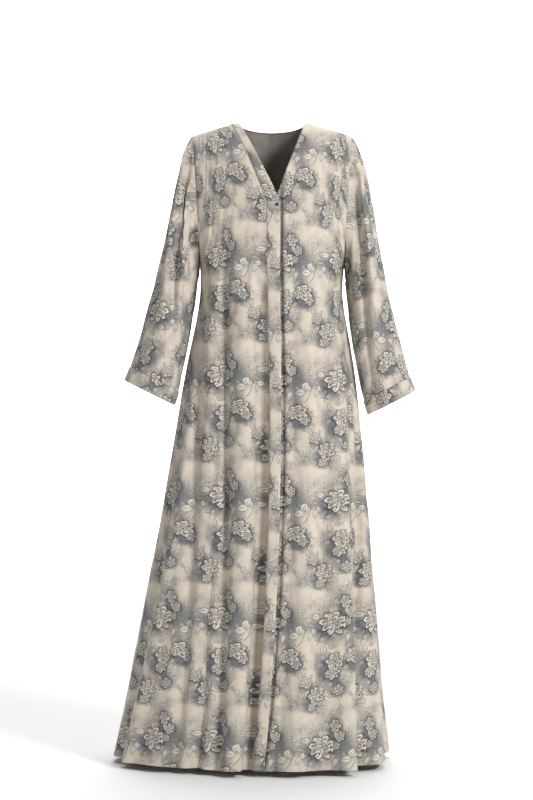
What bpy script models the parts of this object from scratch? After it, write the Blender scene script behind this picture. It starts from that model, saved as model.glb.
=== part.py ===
"""Abaya cloak, worn: an open-fronted, ankle-length robe of light printed cloth.

Frame: metres, +Z up. The origin is the neck base, midway between the two high shoulder
points where the cloak rests on its wearer. The front faces -Y, and +X is the wearer's left.

Every panel is a grid of points on one smooth garment form: rings below the underarm, and
above it a front and a back sheet that roll over to the shoulder seam. Each grid becomes a
closed wall. Neighbouring panels share their seam points, and each draws back a little there.
"""
import math

import bmesh
import bpy
import numpy as np
from mathutils import Matrix, Vector

# Driving dimensions
DROP = 1.408  # neck base straight down to the hem
UNDERARM = -0.325  # height of the underarm point
NECK_HALF = 0.075  # half the neck width at the high shoulder points
TIP = (0.178, -0.031)  # shoulder tip: half the shoulder width, and its height
CHEST_HALF = 0.1605  # half the width across the chest, underarm to underarm
PLACKET_TOP = -0.185  # where the neckband meets the placket
V_FOOT = 0.018  # the V's foot lies this far to the wearer's left of the middle
BAND_END = -0.0955  # where the neckband's outer edge meets the shoulder seam
NECK_DIP = 0.018  # drop of the back neckline
CUFF_DEPTH = 0.033
WALL = 0.0014  # cloth wall
GAP = 0.0003  # between pieces at a seam
LAP_GAP = 0.0005  # between the placket and the edge that passes under it
SQUARENESS = 2.3  # of the body rings: 2 is an ellipse
SNAP_RADIUS = 0.0035
SNAP_HEIGHT = 0.002

SKIRT = DROP + UNDERARM  # height of the rings, underarm to hem
SLOPE = TIP[1] / (NECK_HALF - TIP[0])  # fall of the shoulder seam

LOWER_ROWS = 17  # from the hem to the underarm
UPPER_ROWS = 9  # from the underarm to the shoulder
SLEEVE_ROWS = 13

# Body lines run from the chest to the hem. Each is three angles round the ring in degrees, at
# the underarm, half way down and at the hem: 0 is the front, 90 the wearer's left side seam.
CLOSING = (4.5, 9.5, 11.3)
PLACKET_SEAM = (-2.8, 4.2, 6.7)
FRONT_RIGHT_LINES = (
    (-90, -90, -90), (-80, -73, -76), (-70, -62, -64), (-63, -55, -56), (-57, -49, -50),
    (-51, -38, -36), (-46, -29, -20), (-41, -23, -11.5), (-35, -18, -7), (-26, -11, -2.5),
    (-17, -4, 2), (-10, 0, 4.2), (-5.5, 2.1, 5.6), PLACKET_SEAM,
)
FRONT_LEFT_LINES = (
    PLACKET_SEAM, (1, 6.8, 9), CLOSING, (11, 15, 17), (18, 21, 23), (26, 28, 30),
    (34, 35, 37), (42, 42, 44), (48, 48, 50), (54, 53.5, 54.3), (62, 59, 57), (72, 66, 63),
    (81, 77, 75), (90, 90, 90),
)
BACK_LINES = tuple((a, a, a) for a in np.linspace(90, 270, 23))

# Folds: centre line as above, then how far it stands out (or in, if negative) at the same
# three heights in mm, then its reach to the right and to the left of the line in mm.
FOLDS = (
    ((-4.8, 2.0, 5.9), (-1, -13, -20), 13, 7),  # valley beside the placket
    ((-18, -7, 0), (1, 7, 13), 26, 24),  # column fold
    ((-44, -23, -11.5), (-2, -11, -18), 20, 11),  # valley outside the column fold
    ((-57, -49, -50), (0, 7, 14), 24, 18),  # edge of the front panel
    ((-72, -62, -64), (0, -9, -17), 20, 22),  # side valley
    ((23, 24, 25), (1, 4, 7), 34, 36),  # soft swell on the left front
    ((38, 37, 38), (0, -3, -6), 26, 26),
    ((50, 51, 52), (0, 9, 28), 40, 9),  # folded edge on the left side
    ((70, 62, 59), (0, -11, -26), 9, 28),  # deep valley behind it
    ((84, 80, 78), (0, 4, 8), 24, 30),
    ((103, 101, 99), (0, -8, -20), 26, 26),
    ((116, 117, 117), (1, 9, 21), 30, 28),
    ((130, 133, 134), (-1, -9, -18), 26, 28),
    ((147, 149, 151), (2, 9, 19), 30, 30),
    ((163, 166, 168), (-2, -8, -17), 28, 26),
    ((178, 182, 184), (2, 8, 18), 30, 32),
    ((194, 198, 201), (-2, -9, -19), 28, 28),
    ((210, 214, 217), (2, 9, 20), 30, 30),
    ((226, 231, 234), (-1, -8, -18), 28, 26),
    ((242, 247, 250), (1, 8, 20), 28, 28),
    ((258, 262, 263), (0, -7, -17), 26, 24),
)

# Sleeve lines in the X-Z plane for the wearer's right (-1) and left (1): control points of
# the outer edge from the shoulder tip and of the inner edge from the underarm, to the cuff.
SLEEVE_EDGES = {
    -1: (((0.205, -0.062), (0.232, -0.310), (0.3146, -0.546)),
         ((0.170, -0.420), (0.187, -0.510), (0.2060, -0.600))),
    1: (((0.205, -0.062), (0.232, -0.330), (0.3052, -0.569)),
        ((0.168, -0.430), (0.182, -0.530), (0.2030, -0.621))),
}
CUFF_LEAN = ((0.345, -0.938), (0.285, -0.958))  # outer and inner edge directions at the cuff
SLEEVE_DEPTH = (0.080, 0.072, 0.055)  # half the depth at the armhole, half way and the cuff
SLEEVE_FORWARD = 0.035  # how far the cuff comes forward
CAP_SWELL = 0.016  # how far the front and back of the sleeve cap swell outwards
# Sleeve folds: angle from the outer edge over the front in degrees at the armhole, half way
# and the cuff, their stand-out in mm at the same places, and their reach in mm to each side.
SLEEVE_FOLDS = {
    -1: (((62, 92, 118), (0, -9, -3), 11, 16), ((88, 118, 140), (2, 8, 3), 14, 12),
         ((112, 140, 160), (-2, -9, -2), 12, 12), ((38, 62, 80), (1, 6, 3), 20, 16),
         ((240, 232, 225), (0, -7, -4), 20, 16), ((275, 265, 255), (1, 6, 4), 24, 20)),
    1: (((96, 112, 125), (-1, -9, -3), 12, 16), ((70, 84, 96), (2, 6, 3), 22, 16),
        ((128, 142, 155), (1, 6, 3), 14, 12), ((245, 238, 230), (0, -8, -4), 18, 18),
        ((280, 270, 262), (1, 6, 3), 24, 22)),
}


def smooth(x):
    x = np.clip(x, 0.0, 1.0)
    return x * x * (3 - 2 * x)


def along(three, t):
    """A value given at the start, middle and end, read at t from 0 to 1."""
    start, middle, end = three
    return start * (1 - t) * (1 - 2 * t) + middle * 4 * t * (1 - t) + end * t * (2 * t - 1)


def power(x, p):
    return np.sign(x) * np.abs(x) ** p


def shoulder_height(x):
    return -SLOPE * (np.sqrt(x * x + 0.0004) - NECK_HALF)


def armhole_x(z):
    """Half the width between the armhole seams at height z."""
    g = np.clip((z - UNDERARM) / (TIP[1] - UNDERARM), 0, 1)
    return CHEST_HALF + (TIP[0] - CHEST_HALF) * g**1.5


def across_share(angle, lift):
    """How far across the sheet a line lies, from 0 in the middle to 1 at the side seam.
    Above the underarm the lines near the armhole spread out, because the sheet ends there
    and doesn't turn round the side."""
    share = power(np.sin(np.radians(angle)), 2 / SQUARENESS)
    u = np.abs((angle + 90) % 180 - 90) / 90
    return share - np.sign(share) * 0.7 * u**3 * (1 - u) * smooth(lift / 0.25)


def fold_height(angle, fall, speed, folds):
    """How far the cloth stands off the smooth form. speed is metres per radian."""
    total = 0.0
    for line, rise, right, left in folds:
        away = (angle - along(line, fall) + 180) % 360 - 180
        away = np.radians(away) * speed
        reach = np.where(away > 0, left, right) / 1000
        total = total + along(rise, fall) / 1000 * np.exp(-((away / reach) ** 2))
    return total


def body_point(angle, face, z):
    """A point of the garment form. angle is in degrees round the ring, face is 1 for the
    front sheet and -1 for the back one, z is the height."""
    drop = np.maximum(UNDERARM - z, 0)
    fall = drop / SKIRT
    lift = np.clip((z - UNDERARM) / (TIP[1] - UNDERARM), 0, 1)
    right = CHEST_HALF + 0.1354 * drop + 0.0387 * drop**2
    left = CHEST_HALF + 0.1068 * drop - 0.0181 * drop**2
    under_arm = 0.2 * drop * np.exp(-((drop / 0.12) ** 2))  # the sides tuck in there
    right, left = right - under_arm, left - under_arm
    half = np.where(z > UNDERARM, armhole_x(z), (left + right) / 2)
    front_depth = 0.128 + 0.05 * drop + 0.03 * drop**2
    back_depth = 0.112 + 0.095 * drop + 0.005 * drop**2
    depth = np.where(face > 0, front_depth, back_depth)

    sine, cosine = np.sin(np.radians(angle)), np.cos(np.radians(angle))
    x = across_share(angle, lift) * half
    open_up = lift / 0.35
    reach = half + 0.035 * open_up / (1 + open_up**4) ** 0.25
    inside = np.clip(1 - np.abs(x / reach) ** SQUARENESS, 0, 1)
    s = np.clip((z - UNDERARM) / (shoulder_height(x) - UNDERARM), 0, 1)
    y = -face * depth * inside ** (1 / SQUARENESS) * np.sqrt(1 - s * s)

    round_depth = (front_depth + back_depth) / 2
    speed = np.sqrt((half * cosine) ** 2 + (round_depth * sine) ** 2)
    out = fold_height(angle, fall, speed, FOLDS) * (1 - smooth(lift / 0.7))
    swell = np.stack([round_depth * sine, -half * cosine])
    swell = swell / np.maximum(np.hypot(swell[0], swell[1]), 1e-9)
    x, y = x + out * swell[0], y + out * swell[1]

    turn = np.radians(11) * fall
    centre_x, centre_y = np.where(z > UNDERARM, 0, (left - right) / 2), -0.02 * fall
    return np.stack([
        centre_x + x * np.cos(turn) + y * np.sin(turn),
        centre_y - x * np.sin(turn) + y * np.cos(turn),
        z + 0 * x,
    ], axis=-1)


def lower_grid(lines, face):
    """Rows from the hem up to just under the underarm."""
    fall = 1 - np.arange(LOWER_ROWS) / LOWER_ROWS
    angle = np.array([along(line, fall) for line in lines]).T
    z = UNDERARM - SKIRT * fall[:, None]
    return body_point(angle, face, z + 0 * angle)


def upper_grid(lines, face, top):
    """Rows from the underarm up to the height top(x) of each line."""
    angle = np.array([line[0] for line in lines], float)
    part = across_share(angle, 1.0)
    z_top = np.full(len(lines), UNDERARM / 2)
    for _ in range(30):
        z_top = top(part * armhole_x(z_top))
    x_top = part * armhole_x(z_top)
    s_top = np.clip((z_top - UNDERARM) / (shoulder_height(x_top) - UNDERARM), 0, 1)
    turn = np.arcsin(s_top) * (np.arange(UPPER_ROWS + 1) / UPPER_ROWS)[:, None]
    z = UNDERARM + (z_top - UNDERARM) * np.sin(turn) / s_top
    z[-1] = z_top
    return body_point(angle + 0 * z, face, z)


def panel_grid(lines, face, top):
    return np.concatenate([lower_grid(lines, face), upper_grid(lines, face, top)])


def band_seam(x):
    """Height of the seam where the neckband joins the wearer's right front."""
    u = np.maximum(-x, 0.0) - 0.0125
    seam = PLACKET_TOP + 2.75 * u - 6.0 * u * u
    return np.where(x < BAND_END, shoulder_height(x), np.minimum(seam, shoulder_height(x)))


def left_neck(x):
    """Height of the wearer's left V edge, or of the shoulder seam beyond it."""
    return np.where(x > NECK_HALF, shoulder_height(x), np.minimum(2.61 * (x - NECK_HALF),
                                                                  shoulder_height(x)))


def back_neck(x):
    dip = -NECK_DIP * np.sqrt(np.clip(1 - (x / NECK_HALF) ** 2, 0, 1))
    return np.where(np.abs(x) > NECK_HALF, shoulder_height(x), dip)


def front_at(x, z):
    """The point of the front sheet at a given place across and height."""
    angles = np.linspace(-90, 90, 721)
    xs = body_point(angles, 1, z + 0 * angles)[:, 0]
    return body_point(np.interp(x, xs, angles), 1, np.array(z))


def band_grid(front_right, placket):
    """From the placket's top up the V to the shoulder seam, outer edge first. The outer edge
    takes the points of the front's own edge, so that the two lie side by side."""
    top = front_right[-1]
    outer_edge = top[top[:, 0] > BAND_END - 0.001][::-1]
    rows = [placket[-1]]
    for outer in outer_edge[1:]:
        climb = min(1 - outer[2] / PLACKET_TOP, 1.0)
        inner_x = V_FOOT - (V_FOOT + NECK_HALF - 0.005) * climb - 0.005 * climb**2
        inner_z = PLACKET_TOP * (1 - climb)
        row = [outer]
        for share in (0.5, 1.0):
            x = outer[0] + (inner_x - outer[0]) * share
            z = outer[2] + (inner_z - outer[2]) * share
            row.append(front_at(x, min(z, shoulder_height(x))))
        rows.append(np.array(row))
    return np.array(rows)


def bezier(start, controls, t):
    p0, (p1, p2, p3) = np.array(start), map(np.array, controls)
    t = np.asarray(t)[..., None]
    return (1 - t)**3 * p0 + 3 * (1 - t)**2 * t * p1 + 3 * (1 - t) * t * t * p2 + t**3 * p3


def sleeve_ring(side, outer, inner, t, angle, forward):
    """One ring from its outer and inner points in the X-Z plane."""
    middle, radius = (outer + inner) / 2, (outer - inner) / 2
    depth = along(SLEEVE_DEPTH, t)
    size = np.hypot(*radius)
    cosine, sine = np.cos(angle), np.sin(angle)
    speed = np.sqrt((size * sine) ** 2 + (depth * cosine) ** 2)
    out = fold_height(np.degrees(angle), t, speed, SLEEVE_FOLDS[side]) * smooth(t / 0.12)
    wide = 1 + out / size
    deep = depth + out
    flat = middle + radius * (cosine * wide)[:, None]
    cap = CAP_SWELL * np.abs(sine) * smooth(t / 0.15) * (1 - smooth((t - 0.3) / 0.7))
    return np.stack([side * (flat[:, 0] + cap), forward - deep * sine, flat[:, 1]], axis=-1)


def sleeve_grid(side, front, back):
    """Rings from the armhole edges of the two panels down to the cuff seam."""
    loop = np.concatenate([front[::-1], back[1:-1]])
    count = len(loop)
    angle = 2 * np.pi * np.arange(count) / count
    outer_line, inner_line = SLEEVE_EDGES[side]
    t = (np.arange(SLEEVE_ROWS + 1) / SLEEVE_ROWS) ** 1.15
    outer = bezier(TIP, outer_line, t)
    inner = bezier((CHEST_HALF, UNDERARM), inner_line, t**1.5)  # the rings fan out here
    forward = -SLEEVE_FORWARD * smooth(t)
    rings = [sleeve_ring(side, outer[i], inner[i], t[i], angle, forward[i])
             for i in range(len(t))]
    slip = loop - rings[0]
    rings = [ring + slip * (1 - smooth(t[i] / 0.3)) for i, ring in enumerate(rings)]
    return np.array(rings)


def cuff_grid(side, sleeve):
    """A straight band on from the sleeve's last ring."""
    last = sleeve[-1]
    share = (side * last[:, 0] - (side * last[:, 0]).min()) / np.ptp(last[:, 0])
    (ox, oz), (ix, iz) = CUFF_LEAN
    step = np.stack([side * (ix + (ox - ix) * share), 0 * share - 0.05,
                     iz + (oz - iz) * share], axis=-1) * CUFF_DEPTH
    return np.array([last + step * k / 2 for k in range(3)])


def grid_normals(points, closed):
    """Outward unit normals of a grid whose columns run round the body to the wearer's left."""
    if closed:
        across = np.roll(points, -1, 1) - np.roll(points, 1, 1)
    else:
        across = np.gradient(points, axis=1)
    normal = np.cross(across, np.gradient(points, axis=0))
    return normal / np.maximum(np.linalg.norm(normal, axis=2, keepdims=True), 1e-12)


def level_shoulders(grids, normals):
    """Along the shoulder seam front and back share the normal of the seam's own plane."""
    for name in grids:
        x, z = grids[name][..., 0], grids[name][..., 2]
        on_seam = (np.abs(z - shoulder_height(x)) < 1e-6) & (np.abs(x) > NECK_HALF - 0.004)
        upright = np.stack([SLOPE * np.sign(x), 0 * x, 1 + 0 * x], axis=-1)
        normals[name][on_seam] = upright[on_seam] / math.hypot(SLOPE, 1)


def weld_normals(grids, normals):
    """Seam points that meet share the mean of their pieces' normals, so that the walls stay
    side by side."""
    meet = {}
    for name in grids:
        for index in np.ndindex(grids[name].shape[:2]):
            key = tuple(np.round(grids[name][index] / 2e-5).astype(int))
            meet.setdefault(key, []).append((name, index))
    for places in meet.values():
        mean = sum(normals[name][index] for name, index in places)
        strength = np.linalg.norm(mean) / len(places)
        if len(places) > 1 and strength > 0.8:  # less where the underarm doubles back
            for name, index in places:
                normals[name][index] = mean / np.linalg.norm(mean)


def part_armholes(grids):
    """Panels and sleeves part sideways along the armhole seams."""
    up, apart = slice(LOWER_ROWS, None), np.array([GAP * 0.7, 0, 0])
    for name, place, way in (("front_right", (up, 0), 1), ("front_left", (up, -1), -1),
                             ("back", (up, 0), -1), ("back", (up, -1), 1),
                             ("sleeve_right", 0, -1), ("sleeve_left", 0, 1)):
        grids[name][place] += apart * way


def draw_back(points, closed):
    """Every free edge moves half a seam gap into its own piece."""
    moved = points.copy()
    edges = [(0, 1), (-1, -2)]
    for edge, beside in edges:
        step = points[beside] - points[edge]
        moved[edge] += step / np.linalg.norm(step, axis=1, keepdims=True) * GAP * 0.8
    if not closed:
        for edge, beside in edges:
            step = moved[:, beside] - moved[:, edge]
            moved[:, edge] += step / np.linalg.norm(step, axis=1, keepdims=True) * GAP * 0.8
    return moved


def wall_mesh(name, points, normals, closed, thickness):
    """A closed wall: the outer grid, the inner one and the rim between them."""
    rows, cols = points.shape[:2]
    verts = np.concatenate([points.reshape(-1, 3),
                            (points - normals * thickness).reshape(-1, 3)])
    inner = rows * cols
    faces = []
    spans = cols if closed else cols - 1
    for i in range(rows - 1):
        for j in range(spans):
            a, b = i * cols + j, i * cols + (j + 1) % cols
            c, d = b + cols, a + cols
            faces += [(a, b, c), (a, c, d)]
            faces += [(c + inner, b + inner, a + inner), (d + inner, c + inner, a + inner)]
    for j in range(spans):
        a, b = j, (j + 1) % cols
        faces.append((b, a, a + inner, b + inner))
        a, b = a + (rows - 1) * cols, b + (rows - 1) * cols
        faces.append((a, b, b + inner, a + inner))
    if not closed:
        for i in range(rows - 1):
            a, b = i * cols, (i + 1) * cols
            faces.append((a, b, b + inner, a + inner))
            a, b = a + cols - 1, b + cols - 1
            faces.append((b, a, a + inner, b + inner))
    mesh = bpy.data.meshes.new(name)
    mesh.from_pydata(verts.tolist(), [], faces)
    mesh.validate()
    mesh.update()
    return mesh


def material(name, colour, roughness, metallic=0.0):
    made = bpy.data.materials.new(name)
    made.use_nodes = True
    shader = made.node_tree.nodes["Principled BSDF"]
    shader.inputs["Base Color"].default_value = (*colour, 1)
    shader.inputs["Roughness"].default_value = roughness
    shader.inputs["Metallic"].default_value = metallic
    return made


def add_object(name, mesh, made):
    mesh.materials.append(made)
    mesh.shade_smooth()
    mesh.set_sharp_from_angle(angle=math.radians(40))
    bpy.context.scene.collection.objects.link(bpy.data.objects.new(name, mesh))


def snap_mesh(centre, normal):
    """A low round stud whose back lies against the placket."""
    way = Vector(normal)
    turn = way.to_track_quat("Z", "Y").to_matrix().to_4x4()
    place = Matrix.Translation(Vector(centre) + way * (LAP_GAP + SNAP_HEIGHT / 2)) @ turn
    bm = bmesh.new()
    bmesh.ops.create_cone(bm, cap_ends=True, segments=20, radius1=SNAP_RADIUS,
                          radius2=SNAP_RADIUS * 0.8, depth=SNAP_HEIGHT, matrix=place)
    mesh = bpy.data.meshes.new("snap")
    bm.to_mesh(mesh)
    bm.free()
    return mesh


def body_grids():
    """Every cloth piece as a grid of points on the form, by name."""
    grids = {"back": panel_grid(BACK_LINES, -1, back_neck)}
    grids["front_right"] = panel_grid(FRONT_RIGHT_LINES, 1, band_seam)
    grids["front_left"] = panel_grid(FRONT_LEFT_LINES, 1, left_neck)
    grids["placket"] = panel_grid(FRONT_LEFT_LINES[:3], 1, lambda x: PLACKET_TOP + 0 * x)
    grids["neckband"] = band_grid(grids["front_right"], grids["placket"])
    for side, name, front, edge in ((-1, "right", "front_right", 0),
                                    (1, "left", "front_left", -1)):
        armhole = [grids[front][LOWER_ROWS:, edge], grids["back"][LOWER_ROWS:, -1 - edge]]
        grids["sleeve_" + name] = sleeve_grid(side, *armhole)
        grids["cuff_" + name] = cuff_grid(side, grids["sleeve_" + name])
    return grids


def tuck_under(grids, normals):
    """The left front passes under the placket, and comes up to the form beyond it."""
    deep = WALL + LAP_GAP
    cols = grids["front_left"].shape[1]
    share = 1 - smooth((np.arange(cols) - 2) / (cols - 4))
    grids["front_left"] -= normals["front_left"] * (deep * share)[None, :, None]


def main():
    for old in list(bpy.data.objects):
        bpy.data.objects.remove(old)
    grids = body_grids()
    closed = {name: name.startswith(("sleeve", "cuff")) for name in grids}
    for name in ("sleeve_right", "cuff_right"):
        grids[name] = grids[name][:, ::-1]  # its rings run the other way round
    normals = {name: grid_normals(grids[name], closed[name]) for name in grids}
    level_shoulders(grids, normals)
    weld_normals(grids, normals)
    tuck_under(grids, normals)
    part_armholes(grids)

    print_cloth = (0.72, 0.68, 0.61)
    for name, points in grids.items():
        mesh = wall_mesh(name, draw_back(points, closed[name]), normals[name], closed[name],
                         WALL)
        add_object(name, mesh, material(name + "_cloth", print_cloth, 0.8))
    at = grids["placket"][-2, 1] * 0.6 + grids["placket"][-1, 2] * 0.4
    add_object("snap", snap_mesh(at, normals["placket"][-1, 1]),
               material("snap_metal", (0.12, 0.12, 0.13), 0.35, 1.0))


main()
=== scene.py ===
"""Abaya cloak, the visible model: an ankle-length robe of printed crepe, worn closed.

Every cloth piece is a fine grid on the garment form that its solid stands on, with the folds,
creases, seams and turned edges added, and then a thin shell. The print is worked out in the
cloth's own grain, so that it runs with the cut of each panel.
"""
import math

import bmesh
import bpy
import numpy as np
from mathutils import Matrix, Vector


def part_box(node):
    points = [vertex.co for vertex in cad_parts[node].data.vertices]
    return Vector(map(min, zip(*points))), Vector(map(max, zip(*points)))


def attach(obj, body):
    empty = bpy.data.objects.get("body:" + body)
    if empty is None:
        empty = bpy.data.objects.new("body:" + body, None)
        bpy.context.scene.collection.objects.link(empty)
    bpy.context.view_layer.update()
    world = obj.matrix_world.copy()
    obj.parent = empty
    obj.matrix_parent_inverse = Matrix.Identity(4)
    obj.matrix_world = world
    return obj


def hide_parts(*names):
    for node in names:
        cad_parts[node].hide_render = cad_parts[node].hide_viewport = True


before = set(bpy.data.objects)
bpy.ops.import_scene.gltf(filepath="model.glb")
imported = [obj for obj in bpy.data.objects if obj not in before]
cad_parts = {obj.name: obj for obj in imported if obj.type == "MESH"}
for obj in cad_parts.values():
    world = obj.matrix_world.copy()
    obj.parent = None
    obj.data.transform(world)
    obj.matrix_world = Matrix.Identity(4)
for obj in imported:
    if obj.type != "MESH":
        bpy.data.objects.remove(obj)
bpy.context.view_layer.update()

bl_info = {
    "name": "Abaya cloak",
    "version": (1, 0, 0),
    "blender": (4, 5, 0),
    "location": "3D View > Sidebar > Abaya",
    "description": "Builds a worn, open-fronted cloak of printed crepe",
    "category": "Object",
}

# ---------------------------------------------------------------------------------------------
# The garment form, in metres. The front faces -Y and +X is the wearer's left.

DROP = 1.408  # neck base straight down to the hem
UNDERARM = -0.325  # height of the underarm point
NECK_HALF = 0.075  # half the neck width at the high shoulder points
TIP = (0.178, -0.031)  # shoulder tip: half the shoulder width, and its height
CHEST_HALF = 0.1605  # half the width across the chest, underarm to underarm
PLACKET_TOP = -0.185  # where the neckband meets the placket
V_FOOT = 0.018  # the V's foot lies this far to the wearer's left of the middle
BAND_END = -0.0955  # where the neckband's outer edge meets the shoulder seam
NECK_DIP = 0.018  # drop of the back neckline
CUFF_DEPTH = 0.033
SQUARENESS = 2.3  # of the body rings: 2 is an ellipse
SKIRT = DROP + UNDERARM  # height of the rings, underarm to hem
SLOPE = TIP[1] / (NECK_HALF - TIP[0])  # fall of the shoulder seam
TUCK = 0.0019  # how far the left front lies below the form under the placket

# Body lines run from the chest to the hem. Each is three angles round the ring in degrees, at
# the underarm, half way down and at the hem: 0 is the front, 90 the wearer's left side seam.
CLOSING = (4.5, 9.5, 11.3)
PLACKET_SEAM = (-2.8, 4.2, 6.7)
FRONT_RIGHT_LINES = (
    (-90, -90, -90), (-80, -73, -76), (-70, -62, -64), (-63, -55, -56), (-57, -49, -50),
    (-51, -38, -36), (-46, -29, -20), (-41, -23, -11.5), (-35, -18, -7), (-26, -11, -2.5),
    (-17, -4, 2), (-10, 0, 4.2), (-5.5, 2.1, 5.6), PLACKET_SEAM,
)
FRONT_LEFT_LINES = (
    PLACKET_SEAM, (1, 6.8, 9), CLOSING, (11, 15, 17), (18, 21, 23), (26, 28, 30),
    (34, 35, 37), (42, 42, 44), (48, 48, 50), (54, 53.5, 54.3), (62, 59, 57), (72, 66, 63),
    (81, 77, 75), (90, 90, 90),
)
BACK_LINES = tuple((a, a, a) for a in np.linspace(90, 270, 23))

# Folds: centre line as above, then how far it stands out (or in, if negative) at the same
# three heights in mm, then its reach to the right and to the left of the line in mm.
FOLDS = (
    ((-4.8, 2.0, 5.9), (-1, -13, -20), 13, 7),  # valley beside the placket
    ((-18, -7, 0), (1, 7, 13), 26, 24),  # column fold
    ((-44, -23, -11.5), (-2, -11, -18), 20, 11),  # valley outside the column fold
    ((-57, -49, -50), (0, 7, 14), 24, 18),  # edge of the front panel
    ((-72, -62, -64), (0, -9, -17), 20, 22),  # side valley
    ((23, 24, 25), (1, 4, 7), 34, 36),  # soft swell on the left front
    ((38, 37, 38), (0, -3, -6), 26, 26),
    ((50, 51, 52), (0, 9, 28), 40, 9),  # folded edge on the left side
    ((70, 62, 59), (0, -11, -26), 9, 28),  # deep valley behind it
    ((84, 80, 78), (0, 4, 8), 24, 30),
    ((103, 101, 99), (0, -8, -20), 26, 26),
    ((116, 117, 117), (1, 9, 21), 30, 28),
    ((130, 133, 134), (-1, -9, -18), 26, 28),
    ((147, 149, 151), (2, 9, 19), 30, 30),
    ((163, 166, 168), (-2, -8, -17), 28, 26),
    ((178, 182, 184), (2, 8, 18), 30, 32),
    ((194, 198, 201), (-2, -9, -19), 28, 28),
    ((210, 214, 217), (2, 9, 20), 30, 30),
    ((226, 231, 234), (-1, -8, -18), 28, 26),
    ((242, 247, 250), (1, 8, 20), 28, 28),
    ((258, 262, 263), (0, -7, -17), 26, 24),
)

# Sleeve lines in the X-Z plane for the wearer's right (-1) and left (1): control points of
# the outer edge from the shoulder tip and of the inner edge from the underarm, to the cuff.
SLEEVE_EDGES = {
    -1: (((0.205, -0.062), (0.232, -0.310), (0.3146, -0.546)),
         ((0.170, -0.420), (0.187, -0.510), (0.2060, -0.600))),
    1: (((0.205, -0.062), (0.232, -0.330), (0.3052, -0.569)),
        ((0.168, -0.430), (0.182, -0.530), (0.2030, -0.621))),
}
CUFF_LEAN = ((0.345, -0.938), (0.285, -0.958))  # outer and inner edge directions at the cuff
SLEEVE_DEPTH = (0.080, 0.072, 0.055)  # half the depth at the armhole, half way and the cuff
SLEEVE_FORWARD = 0.035  # how far the cuff comes forward
CAP_SWELL = 0.016  # how far the front and back of the sleeve cap swell outwards
# Sleeve folds: angle from the outer edge over the front in degrees at the armhole, half way
# and the cuff, their stand-out in mm at the same places, and their reach in mm to each side.
SLEEVE_FOLDS = {
    -1: (((62, 92, 118), (0, -9, -3), 11, 16), ((88, 118, 140), (2, 8, 3), 14, 12),
         ((112, 140, 160), (-2, -9, -2), 12, 12), ((38, 62, 80), (1, 6, 3), 20, 16),
         ((240, 232, 225), (0, -7, -4), 20, 16), ((275, 265, 255), (1, 6, 4), 24, 20)),
    1: (((96, 112, 125), (-1, -9, -3), 12, 16), ((70, 84, 96), (2, 6, 3), 22, 16),
        ((128, 142, 155), (1, 6, 3), 14, 12), ((245, 238, 230), (0, -8, -4), 18, 18),
        ((280, 270, 262), (1, 6, 3), 24, 22)),
}


def smooth(x):
    x = np.clip(x, 0.0, 1.0)
    return x * x * (3 - 2 * x)


def along(three, t):
    """A value given at the start, middle and end, read at t from 0 to 1."""
    start, middle, end = three
    return start * (1 - t) * (1 - 2 * t) + middle * 4 * t * (1 - t) + end * t * (2 * t - 1)


def power(x, p):
    return np.sign(x) * np.abs(x) ** p


def shoulder_height(x):
    return -SLOPE * (np.sqrt(x * x + 0.0004) - NECK_HALF)


def armhole_x(z):
    """Half the width between the armhole seams at height z."""
    g = np.clip((z - UNDERARM) / (TIP[1] - UNDERARM), 0, 1)
    return CHEST_HALF + (TIP[0] - CHEST_HALF) * g**1.5


def across_share(angle, lift):
    """How far across the sheet a line lies, from 0 in the middle to 1 at the side seam."""
    share = power(np.sin(np.radians(angle)), 2 / SQUARENESS)
    u = np.abs((angle + 90) % 180 - 90) / 90
    return share - np.sign(share) * 0.7 * u**3 * (1 - u) * smooth(lift / 0.25)


def fold_height(angle, fall, speed, folds):
    """How far the cloth stands off the smooth form. speed is metres per radian."""
    total = 0.0
    for line, rise, right, left in folds:
        away = (angle - along(line, fall) + 180) % 360 - 180
        away = np.radians(away) * speed
        reach = np.where(away > 0, left, right) / 1000
        total = total + along(rise, fall) / 1000 * np.exp(-((away / reach) ** 2))
    return total


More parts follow.
